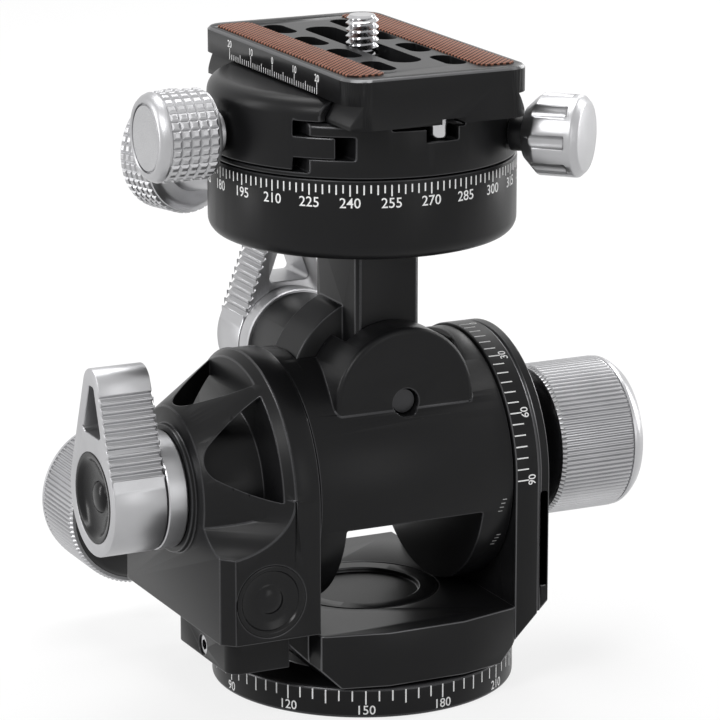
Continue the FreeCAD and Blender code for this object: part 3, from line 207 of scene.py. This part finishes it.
BLACK = finish("black_anodised", (0.007, 0.007, 0.0075), 0.0, 0.34, gloss_level=0.15)
# Black turned finish of the caps and cones; on the drive knobs' necks it is painted shade.
BLACK_TURNED_AND_NECK_SHADE = finish("black_anodised_turned_and_neck_shade", (0.005, 0.005, 0.0055), 0.0, 0.22, grain=0.1, gloss_level=0.2)
EDGE = finish("cut_edge", (0.08, 0.08, 0.083), 0.5, 0.30, grain=0.05)
EDGE_DARK = finish("broken_edge", (0.03, 0.03, 0.032), 0.4, 0.28, grain=0.05, gloss_level=0.4)
SILVER = finish("silver_anodised", (0.42, 0.42, 0.43), 0.95, 0.36)
CHROME = finish("polished_steel", (0.50, 0.50, 0.51), 1.0, 0.14, grain=0.05, spread=0.04)
# Painted shade: the swing shaft's end in the arch gets a nearly black finish in place of the shade inside its hole.
PIN_HOLE_SHADE = finish("painted_pin_hole_shade", (0.03, 0.03, 0.032), 0.6, 0.35)
BRONZE = finish("machined_bronze", (0.45, 0.28, 0.13), 1.0, 0.35)
PAD = finish("copper_brown_rubber", (0.33, 0.145, 0.095), 0.0, 0.6, gloss_level=0.08)
PAINT = finish("engraving_paint", (0.78, 0.78, 0.78), 0.0, 0.6, grain=0.1, tint=0.05)
PAINT_DIM = finish("worn_engraving_paint", (0.30, 0.30, 0.30), 0.0, 0.6, grain=0.1, tint=0.05)
SPUN = finish("turned_silver", (0.44, 0.44, 0.45), 0.95, 0.30, grain=0.12)
SPUN_END = finish("spun_silver_disc", (0.44, 0.44, 0.45), 0.95, 0.26, grain=0.12)

def dotted(material, pitch, gap_shade):
    """Rows of small raised dots, each row set half a step from the next, with the ground between them darkened as
    painted shade.
    """
    nodes, links = material.node_tree.nodes, material.node_tree.links
    shader = nodes["Principled BSDF"]
    place = nodes.new("ShaderNodeTexCoord")
    apart = nodes.new("ShaderNodeSeparateXYZ")
    links.new(place.outputs["Object"], apart.inputs[0])
    waves = []
    for axis in ("X", "Y"):
        scaled = nodes.new("ShaderNodeMath")
        scaled.operation = "MULTIPLY"
        scaled.inputs[1].default_value = math.tau / (pitch * MM)
        wave = nodes.new("ShaderNodeMath")
        wave.operation = "SINE"
        links.new(apart.outputs[axis], scaled.inputs[0])
        links.new(scaled.outputs[0], wave.inputs[0])
        waves.append(wave)
    both = nodes.new("ShaderNodeMath")
    both.operation = "MULTIPLY"
    links.new(waves[0].outputs[0], both.inputs[0])
    links.new(waves[1].outputs[0], both.inputs[1])
    # Painted shade: everything but the middles of the dots is darkened towards the given gap shade.
    shade = nodes.new("ShaderNodeValToRGB")
    shade.color_ramp.elements[0].position = 0.02
    shade.color_ramp.elements[0].color = gap_shade + (1,)
    shade.color_ramp.elements[1].position = 0.22
    shade.color_ramp.elements[1].color = (1, 1, 1, 1)
    links.new(both.outputs[0], shade.inputs[0])
    tone = nodes.new("ShaderNodeMix")
    tone.data_type = "RGBA"
    tone.blend_type = "MULTIPLY"
    tone.inputs[0].default_value = 1.0
    links.new(shader.inputs["Base Color"].links[0].from_socket, tone.inputs[6])
    links.new(shade.outputs[0], tone.inputs[7])
    links.new(tone.outputs[2], shader.inputs["Base Color"])
    return material


# The dark ground between the pad's dots is painted shade.
dotted(PAD, 1.3, (0.08, 0.07, 0.07))

FINISH_OF = {"black_anodised": BLACK, "silver_aluminium": SILVER, "steel": CHROME, "bronze": BRONZE,
             "pad_rubber": PAD}


def only(obj):
    """Make obj the one selected and active object."""
    bpy.ops.object.select_all(action="DESELECT")
    obj.select_set(True)
    bpy.context.view_layer.objects.active = obj


def plate_body():
    """Skin of the camera plate, whose cut top edge is bright."""
    source = frame["nodes"]["camera_plate"]
    piece = bpy.data.objects.new("camera_plate_finished", source.data.copy())
    bpy.context.scene.collection.objects.link(piece)
    only(piece)
    bpy.ops.object.mode_set(mode="EDIT")
    bpy.ops.mesh.select_all(action="SELECT")
    bpy.ops.mesh.remove_doubles(threshold=0.001 * MM)
    bpy.ops.object.mode_set(mode="OBJECT")
    paint(piece, BLACK, EDGE)
    for face in piece.data.polygons:
        face.material_index = 1 if 0.5 < face.normal.z < 0.9 else 0
    return stand_for(smooth(piece), "camera_plate")


def machined(node, finish_in=None, edge=0.25, edge_finish=EDGE_DARK, angle=30, segments=2):
    """Finished skin of one machined node: its faces merged, its edges broken by a fine cut."""
    source = frame["nodes"][node]
    piece = bpy.data.objects.new(node + "_finished", source.data.copy())
    bpy.context.scene.collection.objects.link(piece)
    only(piece)
    bpy.ops.object.mode_set(mode="EDIT")
    bpy.ops.mesh.select_all(action="SELECT")
    bpy.ops.mesh.remove_doubles(threshold=0.001 * MM)
    bpy.ops.mesh.dissolve_limited(angle_limit=math.radians(0.5))
    bpy.ops.object.mode_set(mode="OBJECT")
    piece.data.materials.clear()
    piece.data.materials.append(finish_in or FINISH_OF[SLOT_OF[node]])
    if edge:
        break_edges(piece, edge, edge_finish, angle, segments)
    bpy.ops.object.shade_smooth_by_angle(angle=math.radians(28))
    return stand_for(piece, node)


def break_edges(piece, width, edge_finish, angle=30, segments=2):
    """Bevel the sharp edges; the bevel can take a finish of its own."""
    bevel = piece.modifiers.new("edges", "BEVEL")
    bevel.width = width * MM
    bevel.segments = segments
    bevel.limit_method = "ANGLE"
    bevel.angle_limit = math.radians(angle)
    bevel.use_clamp_overlap = False
    bevel.miter_outer = "MITER_ARC"
    if edge_finish:
        piece.data.materials.append(edge_finish)
        bevel.material = len(piece.data.materials) - 1
    only(piece)
    bpy.ops.object.modifier_apply(modifier=bevel.name)


def stand_for(piece, *nodes):
    """The piece replaces CAD nodes and rides with them."""
    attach(piece, BODY_OF[nodes[0]])
    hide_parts(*nodes)
    return piece


def ride_with(piece, node):
    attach(piece, BODY_OF[node])
    return piece


def axis_frame(base, axis, top=(0, 0, 1)):
    """Matrix that puts local +Z along axis at base, with local +Y as near to top as it goes."""
    z = Vector(axis).normalized()
    y = Vector(top)
    y = (y - z * y.dot(z))
    if y.length < 1e-6:
        y = Vector((0, 1, 0))
    y.normalize()
    x = y.cross(z)
    turn = Matrix((x, y, z)).transposed().to_4x4()
    return Matrix.Translation(Vector(base) * MM) @ turn


def seat(piece, matrix):
    """Put a piece modelled at the origin in its place, and leave its object at the origin."""
    only(piece)
    piece.matrix_world = matrix @ piece.matrix_world
    bpy.ops.object.transform_apply(location=True, rotation=True, scale=True)
    return piece


def turned(name, outline, sides=160, closed=False):
    """Lathe work about +Z: a ring of edges is drawn out to each next (radius, height)."""
    bpy.ops.object.select_all(action="DESELECT")
    radius, height = outline[0]
    bpy.ops.mesh.primitive_circle_add(vertices=sides, radius=radius * MM, fill_type="NOTHING",
                                      location=(0, 0, height * MM))
    piece = bpy.context.object
    piece.name = name
    bpy.ops.object.transform_apply(location=True, rotation=True, scale=True)
    bpy.ops.object.mode_set(mode="EDIT")
    bpy.ops.mesh.select_all(action="SELECT")
    if not closed:
        bpy.ops.mesh.edge_face_add()
    for next_radius, next_height in outline[1:]:
        bpy.ops.mesh.extrude_edges_move(TRANSFORM_OT_translate={"value": (0, 0, (next_height - height) * MM)})
        grow = next_radius / radius
        bpy.ops.transform.resize(value=(grow, grow, 1), center_override=(0, 0, next_height * MM))
        radius, height = next_radius, next_height
    if not closed:
        bpy.ops.mesh.edge_face_add()
    bpy.ops.mesh.select_all(action="SELECT")
    bpy.ops.mesh.remove_doubles(threshold=0.0005 * MM)
    bpy.ops.mesh.normals_make_consistent(inside=False)
    bpy.ops.object.mode_set(mode="OBJECT")
    return piece


def pick_vertices(piece, test):
    """Select the vertices, in edit mode, whose place passes the test."""
    only(piece)
    bpy.ops.object.mode_set(mode="EDIT")
    bpy.ops.mesh.select_mode(type="VERT")
    bpy.ops.mesh.select_all(action="DESELECT")
    bpy.ops.object.mode_set(mode="OBJECT")
    for vertex in piece.data.vertices:
        vertex.select = test(vertex.co / MM)
    bpy.ops.object.mode_set(mode="EDIT")


def pick_faces(piece, test):
    """Select the faces, in edit mode, whose centre and normal pass the test."""
    only(piece)
    bpy.ops.object.mode_set(mode="EDIT")
    bpy.ops.mesh.select_mode(type="FACE")
    bpy.ops.mesh.select_all(action="DESELECT")
    bpy.ops.object.mode_set(mode="OBJECT")
    for face in piece.data.polygons:
        face.select = test(face.center / MM, face.normal)
    bpy.ops.object.mode_set(mode="EDIT")


def smooth(piece, degrees=28):
    only(piece)
    bpy.ops.object.shade_smooth_by_angle(angle=math.radians(degrees))
    return piece


def paint(piece, *finishes):
    piece.data.materials.clear()
    for one in finishes:
        piece.data.materials.append(one)
    return piece


def join(name, parts):
    """One piece from several."""
    bpy.ops.object.select_all(action="DESELECT")
    for part in parts:
        part.select_set(True)
    bpy.context.view_layer.objects.active = parts[0]
    bpy.ops.object.join()
    parts[0].name = name
    return parts[0]


def bar(wide, tall):
    """Flat engraved stroke in the XY plane, centred on the origin."""
    bpy.ops.object.select_all(action="DESELECT")
    bpy.ops.mesh.primitive_cube_add(size=1.0)
    stroke = bpy.context.object
    stroke.scale = (wide * MM, tall * MM, MARK_DEEP * MM)
    bpy.ops.object.transform_apply(location=True, rotation=True, scale=True)
    return stroke


def numeral(text, tall, spin=0.0):
    """Number of the given height in the XY plane, centred on the origin."""
    bpy.ops.object.select_all(action="DESELECT")
    bpy.ops.object.text_add()
    number = bpy.context.object
    number.data.body = text
    number.data.align_x = "CENTER"
    number.data.align_y = "CENTER"
    number.data.resolution_u = 3
    number.data.extrude = 0.01
    number.data.offset = 0.006
    bpy.ops.object.convert(target="MESH")
    low = min(v.co.y for v in number.data.vertices)
    high = max(v.co.y for v in number.data.vertices)
    middle = (low + high) / 2
    grow = tall * MM / (high - low)
    thin = MARK_DEEP * MM / 0.02
    number.matrix_world = (Matrix.Rotation(math.radians(spin), 4, "Z") @ Matrix.Diagonal((grow, grow, thin, 1))
                           @ Matrix.Translation((0, -middle, 0)))
    bpy.ops.object.transform_apply(location=True, rotation=True, scale=True)
    return number


def wrap(mark, radius, degrees, along):
    """Lay a flat mark on a drum about +Z: its x runs round the drum and its y along it."""
    for vertex in mark.data.vertices:
        x, y, z = vertex.co / MM
        angle = math.radians(degrees) + x / radius
        reach = radius + MARK_LIFT - MARK_DEEP / 2 + z
        vertex.co = Vector((reach * math.cos(angle), reach * math.sin(angle), along + y)) * MM
    return mark


def drum_scale(name, radius, top, step, long_every, lengths, label_every, label_tall, label_top, first_label, span):
    """Degree scale round a drum: strokes hang from the height top, numbers below."""
    marks = []
    low, high = span
    count = round((high - low) / step)
    for i in range(count):
        degree = low + i * step
        tall = lengths[0]
        for every, length in long_every:
            if abs(degree / every - round(degree / every)) < 1e-6:
                tall = length
        marks.append(wrap(bar(MARK_WIDE, tall), radius, first_label + degree, top - tall / 2))
        if abs(degree / label_every - round(degree / label_every)) < 1e-6:
            text = numeral(str(round(degree)), label_tall)
            marks.append(wrap(text, radius, first_label + degree, label_top - label_tall / 2))
    return paint(join(name, marks), PAINT)


def rows_on_drum(piece, radius, low, high):
    """Select the drum's side faces between two heights."""
    def on_drum(centre, normal):
        return low < centre.z < high and abs(normal.z) < 0.2 and math.hypot(centre.x, centre.y) > radius * 0.96
    pick_faces(piece, on_drum)


def straight_knurl(name, radius, ridges, start, length):
    """Drum with straight ridges whose ends are chamfered."""
    deep = 0.42
    sides = ridges * 4
    drum = turned(name, [(radius - 1.6, start), (radius - deep - 0.2, start), (radius, start + 0.7),
                         (radius, start + length - 0.5), (radius - deep - 0.1, start + length),
                         (radius - 1.6, start + length)], sides=sides)

    def in_groove(place):
        if math.hypot(place.x, place.y) < radius - 0.01:
            return False
        column = round(math.atan2(place.y, place.x) / math.tau * sides) % 4
        return column in (2, 3)
    pick_vertices(drum, in_groove)
    shrink = (radius - deep) / radius
    bpy.ops.transform.resize(value=(shrink, shrink, 1), center_override=(0, 0, 0))
    bpy.ops.object.mode_set(mode="OBJECT")
    return smooth(drum, 22)


def square_knurl(name, radius, columns, rows, start, length):
    """Drum covered with small square studs in straight rows."""
    step = length / rows
    outline = [(radius - 1.4, start), (radius - 0.35, start)]
    outline += [(radius - 0.35, start + step * i) for i in range(1, rows + 1)]
    outline += [(radius - 1.4, start + length)]
    drum = turned(name, outline, sides=columns)
    rows_on_drum(drum, radius - 0.6, start + 0.1, start + length - 0.1)
    bpy.ops.mesh.inset(thickness=step * 0.20 * MM, depth=0.38 * MM, use_individual=True)
    bpy.ops.mesh.inset(thickness=step * 0.07 * MM, depth=0.06 * MM, use_individual=True)
    bpy.ops.object.mode_set(mode="OBJECT")
    return smooth(drum, 18)


def large_knob(node, base, axis, length):
    """Silver drive knob: a neck painted black as painted shade of its inner end, straight knurl, smooth lip and a
    dished end.
    """
    place = axis_frame(base, axis)
    knurl_end = length - 2.6
    # Painted shade: the neck at the knob's inner end is painted black where shade falls.
    neck = paint(smooth(turned("neck", [(8.5, -3.2), (13.0, -0.1), (13.6, 0.5), (14.2, 1.4), (12.0, 1.6)])),
                 BLACK_TURNED_AND_NECK_SHADE)
    grip = paint(straight_knurl("grip", 15.3, 96, 1.2, knurl_end - 1.2), SILVER)
    lip = [(13.9, knurl_end - 0.2), (15.1, knurl_end), (15.2, knurl_end + 0.5), (15.0, knurl_end + 1.0),
           (14.6, knurl_end + 1.6), (13.7, length), (12.1, length), (11.6, length - 0.4), (11.3, length - 0.9),
           (3.4, length - 1.1), (3.0, length - 1.1), (2.2, length - 0.9)]
    lip = paint(smooth(turned("lip", lip)), SPUN)
    knob = seat(join(node + "_finished", [neck, grip, lip]), place)
    return stand_for(knob, node)


def ring_knob():
    """Large lock knob of the upper ring: square knurl, smooth inner face and a spun end."""
    base, axis = radial_place(107.0, 50.0, 97.2)
    place = axis_frame(base, axis)
    grip = paint(square_knurl("grip", 12.3, 42, 5, 1.2, 8.0), SILVER)
    shell = [(2.6, -0.0), (9.9, 0.0), (10.9, 0.25), (11.7, 0.8), (11.9, 1.3), (11.9, 9.1), (11.6, 9.7), (10.9, 10.0),
             (9.8, 10.0), (9.4, 9.6), (9.2, 9.1), (0.4, 9.0)]
    shell = paint(smooth(turned("shell", shell)), SPUN)
    return stand_for(seat(join("ring_lock_knob_finished", [grip, shell]), place), "ring_lock_knob")


def ring_neck():
    base, axis = radial_place(107.0, 30.5, 97.2)
    neck = [(2.55, 0.1), (3.3, 0.1), (3.7, 0.4), (3.7, 3.6), (4.2, 5.0), (7.3, 18.8), (7.5, 19.4), (2.55, 19.4)]
    return stand_for(seat(paint(smooth(turned("ring_lock_neck_finished", neck)), SILVER), axis_frame(base, axis)),
                     "ring_lock_neck")


def radial_place(degrees, reach, height):
    """Point and outward direction at an angle from +X round the head."""
    angle = math.radians(degrees)
    return (reach * math.cos(angle), reach * math.sin(angle), height), (math.cos(angle), math.sin(angle), 0)


def jaw_knob():
    """Small square-knurled knob of the jaw with a bevelled ring round its spun end."""
    place = axis_frame((-32.7, 0, 112.0), (-1, 0, 0))
    grip = paint(square_knurl("grip", 8.7, 30, 5, 0.9, 9.6), SILVER)
    shell = [(2.2, 0.0), (7.2, 0.0), (8.1, 0.3), (8.35, 0.9), (8.3, 10.4), (8.6, 10.6), (8.65, 11.0), (8.3, 11.9),
             (7.7, 12.6), (7.2, 12.8), (6.9, 12.8), (6.65, 12.6), (6.6, 12.1), (0.4, 12.1)]
    shell = paint(smooth(turned("shell", shell)), SILVER)
    stand_for(seat(join("jaw_knob_finished", [grip, shell]), place), "jaw_knob")
    disc = paint(smooth(turned("jaw_knob_cap_finished", [(6.3, 12.1), (6.35, 12.45), (6.2, 12.6), (0.3, 12.62)])),
                 SPUN_END)
    stand_for(seat(disc, place), "jaw_knob_cap")
    collar = paint(smooth(turned("collar", [(2.1, -2.35), (3.9, -2.35), (4.1, -2.2), (4.1, -1.2), (2.1, -1.2)])), SILVER)
    funnel = paint(smooth(turned("funnel", [(2.1, -1.2), (4.3, -1.2), (4.5, -1.1), (7.2, -0.15), (7.3, -0.02),
                                            (2.1, -0.02)])), BLACK_TURNED_AND_NECK_SHADE)
    stand_for(seat(join("jaw_knob_collar_finished", [collar, funnel]), place), "jaw_knob_collar")


def lever_cap(node, base, axis):
    """Dark end cap of a lever: a rim, a dish and a small dome."""
    outline = [(8.85, 8.6), (8.85, 10.7), (8.7, 10.85), (8.0, 10.85), (7.7, 10.7), (7.2, 10.2), (6.7, 9.8), (4.2, 9.3),
               (3.5, 9.25), (3.15, 9.3), (2.9, 9.6), (2.4, 9.95), (1.6, 10.2), (0.3, 10.3)]
    cap = paint(smooth(turned(node + "_finished", outline), 40), BLACK_TURNED_AND_NECK_SHADE)
    return stand_for(seat(cap, axis_frame(base, axis)), node)


def collar(node, base, axis, bore):
    """Silver clamp ring with a rounded front edge."""
    outline = [(bore, 0.0), (10.9, 0.0), (11.3, 0.15), (11.5, 0.5), (11.5, 3.9), (11.35, 4.15), (11.1, 4.2), (bore, 4.2)]
    ring = paint(smooth(turned(node + "_finished", outline)), SILVER)
    return stand_for(seat(ring, axis_frame(base, axis)), node)


def worm_cap():
    """Round dish cap in the front of the worm block."""
    outline = [(7.05, 0.0), (7.05, 1.55), (6.95, 1.62), (6.3, 1.62), (6.1, 1.5), (5.8, 1.0), (4.6, 0.6), (3.3, 0.5),
               (2.9, 0.55), (2.6, 0.8), (2.1, 1.1), (1.2, 1.3), (0.3, 1.35)]
    cap = paint(smooth(turned("tilt_worm_cap_finished", outline), 40), BLACK_TURNED_AND_NECK_SHADE)
    x, z = TILT_WORM_AT
    return stand_for(seat(cap, axis_frame((x, -TOWER_R + 1.6, z), (0, -1, 0))), "tilt_worm_cap")


def camera_screw():
    """Quarter inch screw: a wound thread, cut off level and met with a chamfered blank, on a plain round head."""
    pitch, root, crest, low, high = 1.27, 2.5, 3.175, 120.6, 132.3
    bpy.ops.object.select_all(action="DESELECT")
    bpy.ops.mesh.primitive_circle_add(vertices=4, radius=0.1 * MM, fill_type="NOTHING")
    thread = bpy.context.object
    thread.name = "thread"
    start = low - pitch
    section = [(root, 0.0), (crest - 0.12, 0.42), (crest, 0.50), (crest, 0.68), (crest - 0.12, 0.76), (root, pitch)]
    bpy.ops.object.mode_set(mode="EDIT")
    bpy.ops.mesh.select_all(action="SELECT")
    bpy.ops.mesh.delete(type="VERT")
    bpy.ops.object.mode_set(mode="OBJECT")
    thread.data.from_pydata([(r * MM, 0, (start + z) * MM) for r, z in section],
                            [(i, i + 1) for i in range(len(section) - 1)], [])
    wind = thread.modifiers.new("wind", "SCREW")
    wind.axis = "Z"
    wind.angle = math.tau
    wind.screw_offset = pitch * MM
    wind.iterations = int((high - low) / pitch) + 3
    wind.steps = 64
    wind.render_steps = 64
    wind.use_merge_vertices = True
    only(thread)
    bpy.ops.object.modifier_apply(modifier=wind.name)
    bpy.ops.object.mode_set(mode="EDIT")
    for height, outer in ((low, False), (high, True)):
        bpy.ops.mesh.select_all(action="SELECT")
        bpy.ops.mesh.remove_doubles(threshold=0.001 * MM)
        bpy.ops.mesh.select_all(action="SELECT")
        bpy.ops.mesh.bisect(plane_co=(0, 0, height * MM), plane_no=(0, 0, 1), use_fill=True,
                            clear_outer=outer, clear_inner=not outer)
    bpy.ops.mesh.select_all(action="SELECT")
    bpy.ops.mesh.normals_make_consistent(inside=False)
    bpy.ops.object.mode_set(mode="OBJECT")
    blank = turned("blank", [(3.3, low - 1), (3.3, high - 1.0), (2.4, high)], sides=64)
    trim = thread.modifiers.new("trim", "BOOLEAN")
    trim.operation = "INTERSECT"
    trim.solver = "EXACT"
    trim.object = blank
    only(thread)
    bpy.ops.object.modifier_apply(modifier=trim.name)
    bpy.data.objects.remove(blank)
    head = turned("head", [(5.3, 117.9), (5.4, 118.1), (5.4, 120.4), (5.2, 120.6), (2.4, 120.6)], sides=96)
    screw = join("camera_screw_finished", [smooth(thread, 30), smooth(head)])
    return stand_for(paint(screw, CHROME), "camera_screw")


def pads():
    """Two rubber strips with cut corners on the plate."""
    strips = []
    for side in (-1, 1):
        bpy.ops.object.select_all(action="DESELECT")
        bpy.ops.mesh.primitive_cube_add(size=1.0, location=(side * 13.55 * MM, 0, 126.4 * MM))
        strip = bpy.context.object
        strip.scale = (7.4 * MM, 61.9 * MM, 0.8 * MM)
        bpy.ops.object.transform_apply(location=True, rotation=True, scale=True)
        bpy.ops.object.mode_set(mode="EDIT")
        bpy.ops.mesh.select_mode(type="EDGE")
        bpy.ops.mesh.select_all(action="DESELECT")
        bpy.ops.object.mode_set(mode="OBJECT")
        for edge in strip.data.edges:
            a, b = (strip.data.vertices[i].co for i in edge.vertices)
            edge.select = abs(a.z - b.z) > 0.5 * MM
        bpy.ops.object.mode_set(mode="EDIT")
        bpy.ops.mesh.bevel(offset=1.3 * MM, segments=1)
        bpy.ops.object.mode_set(mode="OBJECT")
        break_edges(strip, 0.12, None)
        strips.append(smooth(strip))
    return stand_for(paint(join("plate_pads_finished", strips), PAD), "plate_pads")


def rim_scale():
    """Degree scale on the rim of the right tower: 0 on top and 90 at the front."""
    marks = []
    place = rim_place()
    for degree in range(0, 91, 5):
        marks.append(wrap(bar(MARK_WIDE * 0.9, 2.45), TOWER_R, degree - 90, RIGHT_IN_X + 0.35 + 1.22))
        if degree % 30 == 0:
            marks.append(wrap(numeral(str(degree), 1.6, 180), TOWER_R, degree - 90, 24.45))
    return ride_with(seat(paint(join("tower_scale", marks), PAINT), place), "right_tower")


def rim_place():
    """Drum frame about the tilt axis whose angle 0 is at the front and grows downwards."""
    turn = Matrix(((0, 0, 1), (-1, 0, 0), (0, -1, 0))).to_4x4()
    return Matrix.Translation((0, 0, TILT_Z * MM)) @ turn


def barrel_marks():
    """Short vernier strokes on the barrel beside the right tower."""
    marks = []
    for middle in (8.0, 27.0):
        for i in range(4):
            marks.append(wrap(bar(0.16, 0.9), BARREL_R, middle + i * 1.9, 18.9 - 0.25 * i))
    for i in range(3):
        marks.append(wrap(bar(0.16, 0.9), BARREL_R, -97.0 + i * 2.2, 19.4))
    return ride_with(seat(paint(join("barrel_marks", marks), PAINT_DIM), rim_place()), "tilt_barrel")


def plate_scale():
    """Millimetre scale on the left side of the camera plate."""
    marks = []
    low = 121.72
    for y in range(-20, 21):
        tall = 2.25 if y % 10 == 0 else 1.65 if y % 5 == 0 else 1.1
        stroke = bar(0.2, tall)
        stroke.data.transform(Matrix.Translation((y * MM, (low + tall / 2) * MM, 0)))
        marks.append(stroke)
        if y % 10 == 0:
            text = numeral(str(abs(y)), 1.4)
            text.data.transform(Matrix.Translation((y * MM, 124.78 * MM, 0)))
            marks.append(text)
    scale = paint(join("plate_scale", marks), PAINT)
    turn = Matrix(((0, 0, -1), (-1, 0, 0), (0, 1, 0))).to_4x4()
    return ride_with(seat(scale, Matrix.Translation((-19.0 * MM, 0, 0)) @ turn), "camera_plate")


def ring_scales():
    upper = drum_scale("ring_scale", RING_R, 105.2, 2.5, [(5, 1.86), (15, 2.15)], (1.56,), 15, 1.95, 102.75, 0.0,
                       (0, 360))
    ride_with(upper, "scale_ring")
    lower = drum_scale("foot_scale", FOOT_R, 5.6, 5, [(15, 2.75)], (2.13,), 30, 1.85, 2.65, -264.3, (0, 360))
    ride_with(lower, "foot_ring")


camera_and_studio()

for node, obj in frame["nodes"].items():
    obj.data.materials.clear()
    obj.data.materials.append(FINISH_OF[SLOT_OF[node]])

for node in ("foot_ring", "yoke_base", "pan_cap", "right_tower", "right_cover_plate", "left_tower", "tilt_barrel",
             "swing_column", "scale_ring", "clamp_body", "clamp_jaw", "pan_lock_housing",
             "tilt_lever", "swing_lever", "fluted_knob", "fluted_knob_stem", "plate_stop_screw", "tilt_knob_spacer",
             "swing_knob_spacer"):
    if node in ("right_cover_plate", "right_tower", "yoke_base"):
        machined(node, edge_finish=EDGE)
    elif SLOT_OF[node] == "black_anodised":
        machined(node)
    else:
        machined(node, edge_finish=None)

x, z = TILT_WORM_AT
large_knob("tilt_knob", (x, 38.5, z), (0, 1, 0), 19.0)
large_knob("swing_knob", (36.0, 0, TILT_Z), (1, 0, 0), 20.0)
plate_body()
# The shaft end takes the nearly black finish as painted shade of its hole.
machined("swing_shaft", PIN_HOLE_SHADE, 0)
ring_knob()
ring_neck()
jaw_knob()
lever_cap("tilt_lever_cap", (-46.5, 0, TILT_Z), (-1, 0, 0))
lever_cap("swing_lever_cap", (0, 34.1, SWING_Z), (0, 1, 0))
collar("tilt_clamp_collar", (-42.0, 0, TILT_Z), (-1, 0, 0), 3.0)
collar("swing_clamp_collar", (0, 29.6, SWING_Z), (0, 1, 0), 4.3)
worm_cap()
camera_screw()
pads()
rim_scale()
barrel_marks()
plate_scale()
ring_scales()
